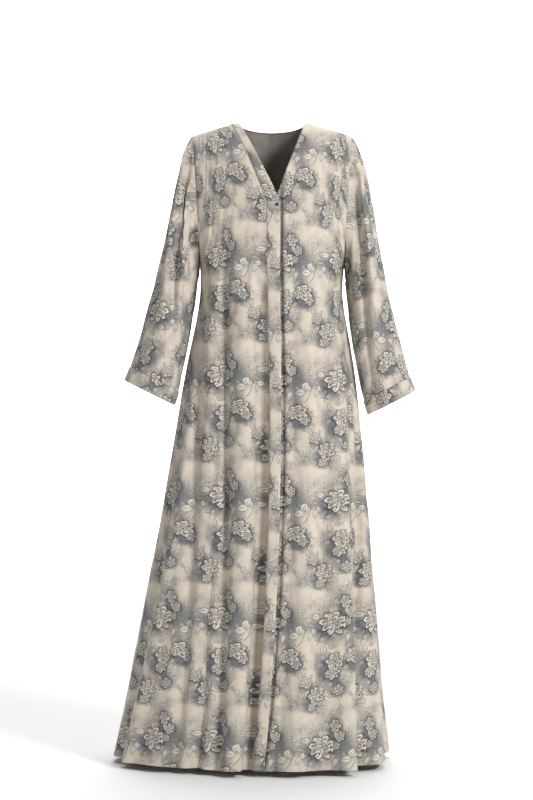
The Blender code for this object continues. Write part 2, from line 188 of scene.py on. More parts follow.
def body_point(angle, face, z):
    """A point of the garment form. angle is in degrees round the ring, face is 1 for the
    front sheet and -1 for the back one, z is the height."""
    drop = np.maximum(UNDERARM - z, 0)
    fall = drop / SKIRT
    lift = np.clip((z - UNDERARM) / (TIP[1] - UNDERARM), 0, 1)
    right = CHEST_HALF + 0.1354 * drop + 0.0387 * drop**2
    left = CHEST_HALF + 0.1068 * drop - 0.0181 * drop**2
    under_arm = 0.2 * drop * np.exp(-((drop / 0.12) ** 2))  # the sides tuck in there
    right, left = right - under_arm, left - under_arm
    half = np.where(z > UNDERARM, armhole_x(z), (left + right) / 2)
    front_depth = 0.128 + 0.05 * drop + 0.03 * drop**2
    back_depth = 0.112 + 0.095 * drop + 0.005 * drop**2
    depth = np.where(face > 0, front_depth, back_depth)

    sine, cosine = np.sin(np.radians(angle)), np.cos(np.radians(angle))
    x = across_share(angle, lift) * half
    open_up = lift / 0.35
    reach = half + 0.035 * open_up / (1 + open_up**4) ** 0.25
    inside = np.clip(1 - np.abs(x / reach) ** SQUARENESS, 0, 1)
    s = np.clip((z - UNDERARM) / (shoulder_height(x) - UNDERARM), 0, 1)
    y = -face * depth * inside ** (1 / SQUARENESS) * np.sqrt(1 - s * s)

    round_depth = (front_depth + back_depth) / 2
    speed = np.sqrt((half * cosine) ** 2 + (round_depth * sine) ** 2)
    out = fold_height(angle, fall, speed, FOLDS) * (1 - smooth(lift / 0.7))
    swell = np.stack([round_depth * sine, -half * cosine])
    swell = swell / np.maximum(np.hypot(swell[0], swell[1]), 1e-9)
    x, y = x + out * swell[0], y + out * swell[1]

    turn = np.radians(11) * fall
    centre_x, centre_y = np.where(z > UNDERARM, 0, (left - right) / 2), -0.02 * fall
    return np.stack([
        centre_x + x * np.cos(turn) + y * np.sin(turn),
        centre_y - x * np.sin(turn) + y * np.cos(turn),
        z + 0 * x,
    ], axis=-1)


def band_seam(x):
    """Height of the seam where the neckband joins the wearer's right front."""
    u = np.maximum(-x, 0.0) - 0.0125
    seam = PLACKET_TOP + 2.75 * u - 6.0 * u * u
    return np.where(x < BAND_END, shoulder_height(x), np.minimum(seam, shoulder_height(x)))


def left_neck(x):
    """Height of the wearer's left V edge, or of the shoulder seam beyond it."""
    return np.where(x > NECK_HALF, shoulder_height(x), np.minimum(2.61 * (x - NECK_HALF),
                                                                  shoulder_height(x)))


def back_neck(x):
    dip = -NECK_DIP * np.sqrt(np.clip(1 - (x / NECK_HALF) ** 2, 0, 1))
    return np.where(np.abs(x) > NECK_HALF, shoulder_height(x), dip)


# ---------------------------------------------------------------------------------------------
# Fine grids on the form

STEPS = 8  # columns in each span between two body lines
SKIRT_ROWS = 170  # underarm to hem
CHEST_ROWS = 54  # underarm to shoulder
SLEEVE_ROWS = 104
EDGE_PLACES = (0.02, 0.06, 0.14)  # extra columns by each side edge, in spans
HEM_PLACES = (0.3, 0.6, 1.6, 1.88, 2.2)  # extra rows by the hem, in rows


def between(lines, steps):
    """The lines with steps columns in each span, and a few more by both side edges."""
    lines, last = np.array(lines, float), len(lines) - 1
    edge = np.array(EDGE_PLACES)
    places = np.unique(np.concatenate([np.arange(last * steps + 1) / steps, edge, last - edge]))
    return np.stack([np.interp(places, np.arange(last + 1), lines[:, k]) for k in range(3)])


def panel_grid(lines, face, top):
    """Rows from the hem up to the underarm, and on up to the height top(x) of each line."""
    rows = np.sort(np.concatenate([np.arange(SKIRT_ROWS), HEM_PLACES]))
    fall = 1 - rows[:, None] / SKIRT_ROWS
    angle = along([line[None, :] for line in lines], fall)
    lower = body_point(angle, face, UNDERARM - SKIRT * fall + 0 * angle)

    angle = lines[0]
    part = across_share(angle, 1.0)
    z_top = np.full(len(angle), UNDERARM / 2)
    for _ in range(30):
        z_top = top(part * armhole_x(z_top))
    x_top = part * armhole_x(z_top)
    s_top = np.clip((z_top - UNDERARM) / (shoulder_height(x_top) - UNDERARM), 0, 1)
    turn = np.arcsin(s_top) * (np.arange(CHEST_ROWS + 1) / CHEST_ROWS)[:, None]
    z = UNDERARM + (z_top - UNDERARM) * np.sin(turn) / s_top
    z[-1] = z_top
    return np.concatenate([lower, body_point(angle + 0 * z, face, z)])


LOWER_ROWS = SKIRT_ROWS + len(HEM_PLACES)  # rows below the underarm


def front_at(x, z):
    """The point of the front sheet at a given place across and height."""
    angles = np.linspace(-90, 90, 721)
    xs = body_point(angles, 1, z + 0 * angles)[:, 0]
    return body_point(np.interp(x, xs, angles), 1, np.array(z))


def band_grid(front_right, placket):
    """From the placket's top up the V to the shoulder seam, outer edge first."""
    top = front_right[-1]
    outer_edge = top[top[:, 0] > BAND_END - 0.001][::-1]
    shares = np.array([0, 0.04, 0.1, 0.2, 0.35, 0.5, 0.65, 0.8, 0.9, 0.96, 1.0])
    foot = placket[-1]
    across = (foot[:, 0] - foot[0, 0]) / (foot[-1, 0] - foot[0, 0])
    rows = [np.stack([np.interp(shares, across, foot[:, k]) for k in range(3)], axis=-1)]
    for outer in outer_edge[1:]:
        climb = min(1 - outer[2] / PLACKET_TOP, 1.0)
        inner_x = V_FOOT - (V_FOOT + NECK_HALF - 0.005) * climb - 0.005 * climb**2
        inner_z = PLACKET_TOP * (1 - climb)
        row = [outer]
        for share in shares[1:]:
            x = outer[0] + (inner_x - outer[0]) * share
            z = outer[2] + (inner_z - outer[2]) * share
            row.append(front_at(x, min(z, shoulder_height(x))))
        rows.append(np.array(row))
    return np.array(rows)


def bezier(start, controls, t):
    p0, (p1, p2, p3) = np.array(start), map(np.array, controls)
    t = np.asarray(t)[..., None]
    return (1 - t)**3 * p0 + 3 * (1 - t)**2 * t * p1 + 3 * (1 - t) * t * t * p2 + t**3 * p3


def sleeve_ring(side, outer, inner, t, angle, forward):
    """One ring from its outer and inner points in the X-Z plane."""
    middle, radius = (outer + inner) / 2, (outer - inner) / 2
    depth = along(SLEEVE_DEPTH, t)
    size = np.hypot(*radius)
    cosine, sine = np.cos(angle), np.sin(angle)
    speed = np.sqrt((size * sine) ** 2 + (depth * cosine) ** 2)
    out = fold_height(np.degrees(angle), t, speed, SLEEVE_FOLDS[side]) * smooth(t / 0.12)
    flat = middle + radius * (cosine * (1 + out / size))[:, None]
    cap = CAP_SWELL * np.abs(sine) * smooth(t / 0.15) * (1 - smooth((t - 0.3) / 0.7))
    return np.stack([side * (flat[:, 0] + cap), forward - (depth + out) * sine, flat[:, 1]], -1)


def sleeve_grid(side, front, back):
    """Rings from the armhole edges of the two panels down to the cuff seam."""
    loop = np.concatenate([front[::-1], back[1:-1]])
    angle = 2 * np.pi * np.arange(len(loop)) / len(loop)
    outer_line, inner_line = SLEEVE_EDGES[side]
    t = (np.arange(SLEEVE_ROWS + 1) / SLEEVE_ROWS) ** 1.15
    outer = bezier(TIP, outer_line, t)
    inner = bezier((CHEST_HALF, UNDERARM), inner_line, t**1.5)
    forward = -SLEEVE_FORWARD * smooth(t)
    rings = [sleeve_ring(side, outer[i], inner[i], t[i], angle, forward[i])
             for i in range(len(t))]
    slip = loop - rings[0]
    return np.array([ring + slip * (1 - smooth(t[i] / 0.3)) for i, ring in enumerate(rings)])


def cuff_grid(side, sleeve):
    """A straight band on from the sleeve's last ring."""
    last = sleeve[-1]
    share = (side * last[:, 0] - (side * last[:, 0]).min()) / np.ptp(last[:, 0])
    (ox, oz), (ix, iz) = CUFF_LEAN
    step = np.stack([side * (ix + (ox - ix) * share), 0 * share - 0.05,
                     iz + (oz - iz) * share], axis=-1) * CUFF_DEPTH
    places = (0, 0.03, 0.08, 0.16, 0.3, 0.45, 0.6, 0.75, 0.88, 0.95, 1)
    return np.array([last + step * place for place in places])


def grid_normals(points, closed):
    """Outward unit normals of a grid whose columns run round the body to the wearer's left."""
    if closed:
        across = np.roll(points, -1, 1) - np.roll(points, 1, 1)
    else:
        across = np.gradient(points, axis=1)
    normal = np.cross(across, np.gradient(points, axis=0))
    return normal / np.maximum(np.linalg.norm(normal, axis=2, keepdims=True), 1e-12)


def level_shoulders(grids, normals):
    """Along the shoulder seam front and back share the normal of the seam's own plane."""
    for name in grids:
        x, z = grids[name][..., 0], grids[name][..., 2]
        on_seam = (np.abs(z - shoulder_height(x)) < 1e-6) & (np.abs(x) > NECK_HALF - 0.004)
        upright = np.stack([SLOPE * np.sign(x), 0 * x, 1 + 0 * x], axis=-1)
        normals[name][on_seam] = upright[on_seam] / math.hypot(SLOPE, 1)


def border(shape, closed):
    """The indices of a grid's edge points."""
    rows, cols = shape
    ends = [(i, j) for i in (0, rows - 1) for j in range(cols)]
    return ends if closed else ends + [(i, j) for i in range(1, rows - 1) for j in (0, cols - 1)]


def weld_normals(grids, normals, closed):
    """Seam points that meet share the mean of their pieces' normals."""
    meet = {}
    for name, grid in grids.items():
        for index in border(grid.shape[:2], closed[name]):
            key = tuple(np.round(grid[index] / 2e-5).astype(int))
            meet.setdefault(key, []).append((name, index))
    for places in meet.values():
        mean = sum(normals[name][index] for name, index in places)
        if len(places) > 1 and np.linalg.norm(mean) / len(places) > 0.8:
            for name, index in places:
                normals[name][index] = mean / np.linalg.norm(mean)


def form_grids():
    """Every cloth piece as a grid of points on the form, with its outward normals."""
    lines = {name: between(spans, STEPS) for name, spans in (
        ("back", BACK_LINES), ("front_right", FRONT_RIGHT_LINES),
        ("front_left", FRONT_LEFT_LINES), ("placket", FRONT_LEFT_LINES[:3]))}
    grids = {
        "back": panel_grid(lines["back"], -1, back_neck),
        "front_right": panel_grid(lines["front_right"], 1, band_seam),
        "front_left": panel_grid(lines["front_left"], 1, left_neck),
        "placket": panel_grid(lines["placket"], 1, lambda x: PLACKET_TOP + 0 * x),
    }
    grids["neckband"] = band_grid(grids["front_right"], grids["placket"])
    for side, name, front, edge in ((-1, "right", "front_right", 0),
                                    (1, "left", "front_left", -1)):
        armhole = [grids[front][LOWER_ROWS:, edge], grids["back"][LOWER_ROWS:, -1 - edge]]
        grids["sleeve_" + name] = sleeve_grid(side, *armhole)
        grids["cuff_" + name] = cuff_grid(side, grids["sleeve_" + name])
    for name in ("sleeve_right", "cuff_right"):
        grids[name] = grids[name][:, ::-1]  # its rings run the other way round
    closed = {name: name.startswith(("sleeve", "cuff")) for name in grids}
    normals = {name: grid_normals(grids[name], closed[name]) for name in grids}
    level_shoulders(grids, normals)
    weld_normals(grids, normals, closed)
    return grids, normals, closed


# ---------------------------------------------------------------------------------------------
# The cloth's own surface: grain, creases and edges


def steps_between(points, axis, closed=False):
    """Distance from each point to the next along an axis."""
    if closed:
        return np.linalg.norm(np.roll(points, -1, axis) - points, axis=2)
    return np.linalg.norm(np.diff(points, axis=axis), axis=2)


def body_grain(points, anchor):
    """Distance across the grain from the anchor column, and along it up from the underarm.
    A chest column keeps the place across that it has at the underarm."""
    across = np.zeros(points.shape[:2])
    across[:, 1:] = np.cumsum(steps_between(points, 1), axis=1)
    across -= across[:, anchor][:, None]
    across[LOWER_ROWS:] = across[LOWER_ROWS]
    up = np.zeros(points.shape[:2])
    run = steps_between(points, 0)
    slant = np.diff(across, axis=0)
    up[1:] = np.cumsum(np.sqrt(np.maximum(run**2 - slant**2, 0)), axis=0)
    return np.stack([across, up - up[LOWER_ROWS]], axis=-1)


def tube_grain(points, anchor):
    """The same on a sleeve or a cuff, which opens flat under the arm: the last column comes
    back round to the first. Down the arm is down the grain."""
    rings = np.concatenate([points, points[:, :1]], axis=1)
    head, foot = points[0].mean(axis=0), points[-1].mean(axis=0)
    way = (head - foot) / np.linalg.norm(head - foot)
    step = np.diff(rings, axis=1)
    flat = np.sqrt(np.maximum((step**2).sum(axis=2) - (step @ way) ** 2, 0))
    across = np.zeros(rings.shape[:2])
    across[:, 1:] = np.cumsum(flat, axis=1)
    across -= across[:, anchor][:, None]
    return np.stack([across, (rings - head) @ way], axis=-1)


def band_grain(points):
    """Along a straight band: across it from its first edge, and up from its foot."""
    across = np.zeros(points.shape[:2])
    across[:, 1:] = np.cumsum(steps_between(points, 1), axis=1)
    up = np.zeros(points.shape[:2])
    up[1:] = np.cumsum(steps_between(points, 0).mean(axis=1))[:, None]
    return np.stack([across, up], axis=-1)


def bell(away, width):
    """A smooth rise, one high at 0 and gone a few widths away."""
    return np.exp(-((away / width) ** 2))


def ripple(grain, seed, height, wide, long):
    """A soft unevenness, longer along the grain than across it."""
    draw = np.random.default_rng(seed)
    total = np.zeros(grain.shape[:2])
    for _ in range(9):
        a = draw.normal(0, 1 / wide)
        b = draw.normal(0, 1 / long)
        total += np.sin(2 * np.pi * (a * grain[..., 0] + b * grain[..., 1]) + draw.uniform(0, 7))
    return total / 3 * height


def crease(grain, start, end, width, height):
    """A soft trough or ridge between two places on the grain, fading at both ends."""
    start, way = np.array(start), np.array(end) - np.array(start)
    long = np.linalg.norm(way)
    way = way / long
    from_start = grain - start
    t = (from_start @ way) / long
    off = from_start[..., 0] * way[1] - from_start[..., 1] * way[0]
    bow = min(0.03 * long, 0.004) * np.sin(np.pi * np.clip(t, 0, 1))
    ends = min(0.3, 0.08 / long)
    low_end = 1.0 if end[1] < -1.05 else smooth((1 - t) / ends)
    fade = smooth(t / ends) * low_end
    return height * bell(off - bow, width) * fade


def from_edges(points, closed):
    """How far each point is from the nearest side edge, the foot and the top."""
    if closed:
        side = np.full(points.shape[:2], 1.0)
    else:
        run = np.zeros(points.shape[:2])
        run[:, 1:] = np.cumsum(steps_between(points, 1), axis=1)
        side = np.minimum(run, run[:, -1:] - run)
    climb = np.zeros(points.shape[:2])
    climb[1:] = np.cumsum(steps_between(points, 0), axis=0)
    return side, climb, climb[-1] - climb


# ---------------------------------------------------------------------------------------------
# Sizes and colours


def linear(code):
    """An sRGB hex colour as linear red, green and blue."""
    parts = [int(code[i:i + 2], 16) / 255 for i in (0, 2, 4)]
    return [x / 12.92 if x <= 0.04045 else ((x + 0.055) / 1.055) ** 2.4 for x in parts]


def in_metres(name, description, default):
    return bpy.props.FloatProperty(name=name, description=description, default=default,
                                   unit="LENGTH")


def hue(name, description, code):
    return bpy.props.FloatVectorProperty(name=name, description=description,
                                         default=linear(code), subtype="COLOR", min=0, max=1)


class ClothSizes(bpy.types.PropertyGroup):
    wall: in_metres("Cloth", "Thickness of the crepe", 0.0008)
    band: in_metres("Band", "How far a folded band stands proud of its panel", 0.0018)
    hem: in_metres("Hem", "Depth of the turned hem", 0.012)
    seam: in_metres("Seam", "How far cloth sinks into a sewn seam", 0.0013)
    ripple: in_metres("Ripple", "Height of the cloth's soft unevenness", 0.0011)


class PrintSizes(bpy.types.PropertyGroup):
    across: in_metres("Repeat across", "Width of the print's repeat", 0.143)
    down: in_metres("Repeat down", "Height of the print's repeat", 0.262)
    line: in_metres("Line", "Width of the drawn outlines", 0.002)


class PrintColours(bpy.types.PropertyGroup):
    ground: hue("Ground", "Cream ground of the cloth", "D3C8B8")
    shade: hue("Haze", "Faint mauve-grey haze on the ground", "BCB3AA")
    cloud: hue("Clouds", "Blue-grey clouds behind the flowers", "6E7073")
    petal: hue("Petals", "Pale petals and leaves", "DFD8CC")
    ink: hue("Lines", "Taupe-charcoal drawn lines", "3B3734")
    reverse: hue("Reverse", "Unprinted reverse of the cloth", "B5ABA0")


class StitchSizes(bpy.types.PropertyGroup):
    pitch: in_metres("Pitch", "From one stitch to the next", 0.0032)
    length: in_metres("Length", "Length of a stitch", 0.0024)
    thread: in_metres("Thread", "Thickness of the sewing thread", 0.00035)
    inset: in_metres("Inset", "From an edge to its row of stitches", 0.0022)
    colour: hue("Thread colour", "Cream polyester thread", "D8CDBD")


class StageSettings(bpy.types.PropertyGroup):
    floor: in_metres("Floor", "Height of the ground, where the wearer stands", -1.4225)
    distance: in_metres("Distance", "From the camera to the garment's middle", 5.0)
    eye: in_metres("Eye", "Height of the camera", -0.620)
    aside: in_metres("Aside", "The camera's place across", -0.0123)
    tall: in_metres("Tall", "Height that the view takes in at the garment's middle", 1.784)


# ---------------------------------------------------------------------------------------------
# Materials

SETTING = {"Math": "operation", "VectorMath": "operation", "MapRange": "interpolation_type"}


def add(tree, kind, *inputs, **settings):
    """Adds a node, sets it up, feeds its inputs in order and returns its first output."""
    node = tree.nodes.new(kind)
    for name, value in settings.items():
        setattr(node, name, value)
    for socket, value in zip([s for s in node.inputs if s.enabled], inputs):
        if isinstance(value, bpy.types.NodeSocket):
            tree.links.new(value, socket)
        elif value is not None:
            socket.default_value = value
    return next((s for s in node.outputs if s.enabled), None)


def work_out(tree, known, *steps):
    """Adds one node after another. A step gives its result's name, the node, its setting and
    its inputs, which are numbers or the names of earlier results."""
    for name, kind, setting, *inputs in steps:
        fed = [known[x] if isinstance(x, str) else x for x in inputs]
        settings = {SETTING[kind]: setting} if setting else {}
        if kind == "MapRange":  # a smooth step needs no clamp, and a clamp costs a node
            settings["clamp"] = False
        known[name] = add(tree, "ShaderNode" + kind, *fed, **settings)


def new_group(name, inputs, outputs):
    """A node group with named sockets. Returns it, its inputs by name and its output node."""
    group = bpy.data.node_groups.new(name, "ShaderNodeTree")
    for label, kind, value in inputs:
        socket = group.interface.new_socket(label, in_out="INPUT", socket_type=kind)
        if value is not None:
            socket.default_value = value
    for label, kind in outputs:
        group.interface.new_socket(label, in_out="OUTPUT", socket_type=kind)
    entry = group.nodes.new("NodeGroupInput")
    leave = group.nodes.new("NodeGroupOutput")
    return group, {s.name: s for s in entry.outputs if s.name}, leave


# Each ring of a flower: its size, how many petals fewer than the outer ring, and its turn.
RINGS = ((1.0, 0, 0.0), (0.68, 1, 0.33), (0.37, 3, 0.61))


def flower_group():
    """A full-blown peony, one unit in radius: rings of pointed petals, the inner over the
    outer, pale at their tips and dark where they meet, as an engraver draws them."""
    group, known, leave = new_group(
        "drawn_flower",
        (("Place", "NodeSocketVector", None), ("Petals", "NodeSocketFloat", 9.0),
         ("Line", "NodeSocketFloat", 0.06), ("Seed", "NodeSocketFloat", 0.0)),
        (("Light", "NodeSocketFloat"), ("Ink", "NodeSocketFloat")))
    place = known["Place"]
    known["wobble"] = add(group, "ShaderNodeTexNoise", place, known["Seed"], 1.9, 1.0,
                          noise_dimensions="4D")
    apart = add(group, "ShaderNodeSeparateXYZ", place).node
    known["x"], known["y"] = apart.outputs[0], apart.outputs[1]
    work_out(
        group, known,
        ("far", "VectorMath", "LENGTH", "Place"),
        ("stretch", "Math", "MULTIPLY_ADD", "wobble", 0.44, 0.78),
        ("far", "Math", "MULTIPLY", "far", "stretch"),
        ("turns", "Math", "ARCTAN2", "y", "x"),
        ("turns", "Math", "MULTIPLY", "turns", 0.5 / math.pi),
        ("swing", "Math", "MULTIPLY_ADD", "wobble", 0.12, -0.06),
        ("turns", "Math", "ADD", "turns", "swing"),
        ("ink", "Math", "MULTIPLY", "far", 0.0),
        ("thick", "Math", "MULTIPLY", "Line", 1.2),
    )
    for index, (size, fewer, turned) in enumerate(RINGS):
        inner = RINGS[index + 1][0] if index + 1 < len(RINGS) else 0.12
        work_out(
            group, known,
            ("count", "Math", "SUBTRACT", "Petals", float(fewer)),
            ("petal", "Math", "MULTIPLY_ADD", "turns", "count", turned),
            ("petal", "Math", "PINGPONG", "petal", 0.5),
            ("gap", "Math", "MULTIPLY_ADD", "petal", -2.0, 1.0),
            ("gap", "Math", "POWER", "gap", 1.7),
            ("edge", "Math", "MULTIPLY_ADD", "gap", -0.37 * size, size),
            ("deep", "Math", "SUBTRACT", "edge", "far"),
            ("inside", "MapRange", "SMOOTHSTEP", "deep", -0.01, 0.03, 0.0, 1.0),
            ("base", "MapRange", "SMOOTHSTEP", "deep", 0.2 * (size - inner),
             0.95 * (size - inner), 0.0, 0.8),
            ("rim", "MapRange", "SMOOTHSTEP", "deep", 0.0, "thick", 0.55 if index else 0.34, 0.0),
            ("parting", "MapRange", "SMOOTHSTEP", "petal", 0.0, 0.17, 0.95, 0.0),
            ("drawn", "Math", "MAXIMUM", "rim", "parting"),
            ("drawn", "Math", "MAXIMUM", "drawn", "base"),
        )
        known["ink"] = add(group, "ShaderNodeMix", known["inside"], known["ink"],
                           known["drawn"], data_type="FLOAT")
        if index == 0:
            known["light"] = known["inside"]
            work_out(group, known, ("halo", "MapRange", "SMOOTHSTEP", "deep", -0.36, 0.0,
                                    0.0, 0.72),
                     ("halo", "Math", "SUBTRACT", "halo", "inside"))
    work_out(group, known, ("ink", "Math", "MAXIMUM", "ink", "halo"))
    group.links.new(known["light"], leave.inputs["Light"])
    group.links.new(known["ink"], leave.inputs["Ink"])
    return group


def leaf_group():
    """A pointed leaf or a single petal, lying along X from -1 to 1, with its midrib."""
    group, known, leave = new_group(
        "drawn_leaf",
        (("Place", "NodeSocketVector", None), ("Half width", "NodeSocketFloat", 0.5),
         ("Line", "NodeSocketFloat", 0.1)),
        (("Light", "NodeSocketFloat"), ("Ink", "NodeSocketFloat")))
    apart = add(group, "ShaderNodeSeparateXYZ", known["Place"]).node
    known["x"], known["y"] = apart.outputs[0], apart.outputs[1]
    work_out(
        group, known,
        ("taper", "Math", "MULTIPLY", "x", "x"),
        ("taper", "Math", "SUBTRACT", 1.0, "taper"),
        ("taper", "Math", "MAXIMUM", "taper", 0.0),
        ("round", "Math", "POWER", "taper", 0.8),
        ("half", "Math", "MULTIPLY", "round", "Half width"),
        ("bow", "Math", "MULTIPLY_ADD", "taper", -0.12, "y"),
        ("aside", "Math", "ABSOLUTE", "bow"),
        ("out", "Math", "SUBTRACT", "aside", "half"),
        ("inside", "MapRange", "SMOOTHSTEP", "out", -0.03, 0.02, 1.0, 0.0),
        ("off", "Math", "ABSOLUTE", "out"),
        ("rim", "MapRange", "SMOOTHSTEP", "off", "Line", 0.0, 0.0, 0.66),
        ("rib", "MapRange", "SMOOTHSTEP", "aside", "Line", 0.0, 0.0, 0.75),
        ("rib", "Math", "MULTIPLY", "rib", "taper"),
        ("rib", "Math", "MULTIPLY", "rib", "inside"),
        ("near", "MapRange", "SMOOTHSTEP", "taper", 0.0, 0.06, 0.0, 1.0),
        ("rim", "Math", "MULTIPLY", "rim", "near"),
        ("ink", "Math", "MAXIMUM", "rim", "rib"),
        ("tone", "MapRange", "SMOOTHSTEP", "x", -1.0, 0.6, 0.42, 0.06),
        ("tone", "Math", "MULTIPLY", "tone", "inside"),
        ("ink", "Math", "MAXIMUM", "ink", "tone"),
    )
    group.links.new(known["inside"], leave.inputs["Light"])
    group.links.new(known["ink"], leave.inputs["Ink"])
    return group


# The print's repeat in mm, from the middle of its leaf trio: across to the right, and up.
# Leaves: place, length, width and turn in degrees.
LEAVES = (
    (-18, -7, 21, 15, 0), (-7, 7, 19, 14, 60), (1, 2, 13, 9, 110), (19, -8, 21, 11, 70),
    (26, 2, 14, 12, 25), (18, 15, 15, 5, -10), (31, 33, 24, 12, 6), (66, 48, 15, 9, 90),
    (64, 61, 21, 6, 104), (73, 63, 19, 6, 68), (-40, -12, 17, 9, 78), (56, -38, 20, 10, 106),
    (78, -26, 18, 9, 50), (68, -30, 14, 6, 130), (66, -150, 15, 9, -20), (4, -92, 20, 7, 112),
    (12, -86, 24, 7, 84), (27, -94, 16, 7, 50), (-15, -138, 16, 9, 80), (-24, -131, 13, 5, 122),
    (20, -128, 14, 7, 60), (-46, -214, 17, 7, 100),
)
# Flowers: place, half width, half height, turn in degrees and petals of the outer ring.
FLOWERS = (
    (-37, 42, 11, 12, 0, 6), (-44, -240, 10, 9, 0, 6), (-50, -197, 12, 15, 30, 6),
    (-52, -122, 13, 12, 0, 6), (16, -106, 15, 12, 15, 6), (38, -156, 13, 11, 0, 6),
    (43, -134, 20, 20, 5, 7), (-10, -66, 13, 12, 20, 6), (-24, -50, 22, 18, 0, 7),
    (76, -86, 18, 15, 40, 7), (79, -62, 20, 19, 0, 7), (71, 19, 29, 26, 10, 8),
)
# Stems: a stretch of a circle, by its centre, radius, and first and last turn in degrees.
STEMS = (
    (-46, 8, 52, -48, 2), (84, -30, 42, 142, 178), (36, -40, 24, 50, 100),
    (76, -116, 22, -128, -52), (-58, 38, 19, -170, -15), (62, 86, 26, -100, -60),
)
# Clouds: place, half width, half height and strength.
CLOUDS = (
    (-22, 18, 32, 22, 0.75), (-30, -18, 22, 24, 0.7), (30, 12, 30, 22, 0.65),
    (60, -6, 30, 22, 0.5), (16, 50, 52, 22, 0.42), (-16, -70, 30, 22, 0.8),
    (6, -52, 18, 22, 0.35), (48, -60, 20, 30, 0.65), (66, -98, 26, 20, 0.6),
    (97, -116, 26, 26, 0.6), (2, -152, 30, 20, 0.55), (34, -126, 26, 22, 0.5),
    (64, -182, 30, 26, 0.3), (92, -160, 22, 18, 0.2), (-46, -198, 20, 44, 0.45), (-38, 44, 20, 26, 0.35),
)


def chart_cell(tree, known):
    """The place within the print's repeat, in mm, and the same wound on two circles, so that
    a noise read there joins up with itself at the repeat's edges."""
    sizes = bpy.context.scene.abaya_print
    known["repeat"] = (sizes.across * 1000, sizes.down * 1000)
    work_out(tree, known, ("mm", "VectorMath", "SCALE", "grain"))
    known["mm"].node.inputs["Scale"].default_value = 1000
    apart = add(tree, "ShaderNodeSeparateXYZ", known["mm"]).node
    known["x"], known["y"] = apart.outputs[0], apart.outputs[1]
    for axis, name in enumerate("xy"):
        size = known["repeat"][axis]
        work_out(
            tree, known,
            ("turn_" + name, "Math", "MULTIPLY", name, 2 * math.pi / size),
            ("sin_" + name, "Math", "SINE", "turn_" + name),
            ("cos_" + name, "Math", "COSINE", "turn_" + name),
            ("sin_" + name, "Math", "MULTIPLY", "sin_" + name, size / (2 * math.pi)),
            ("cos_" + name, "Math", "MULTIPLY", "cos_" + name, size / (2 * math.pi)),
        )
    known["wound"] = add(tree, "ShaderNodeCombineXYZ", known["cos_x"], known["sin_x"],
                         known["cos_y"])


def cell_noise(tree, known, size, detail):
    """A noise with features of that size in mm, the same in every repeat."""
    near = add(tree, "ShaderNodeVectorMath", known["wound"], (1 / size,) * 3,
               operation="MULTIPLY")
    fourth = add(tree, "ShaderNodeMath", known["sin_y"], 1 / size, operation="MULTIPLY")
    return add(tree, "ShaderNodeTexNoise", near, fourth, 1.0, detail, 0.6,
               noise_dimensions="4D")


def motif_place(tree, known, x, y, turn, size):
    """The place in a motif's own axes, one unit being half its size."""
    wide, tall = known["repeat"]
    off = add(tree, "ShaderNodeVectorMath", known["drawn_at"], (x, y, 0), operation="SUBTRACT")
    near = add(tree, "ShaderNodeVectorMath", off, (wide / 2, tall / 2, 1),
               (-wide / 2, -tall / 2, -1), operation="WRAP")
    return add(tree, "ShaderNodeMapping", near, (0, 0, 0), (0, 0, math.radians(turn)), size,
               vector_type="TEXTURE")


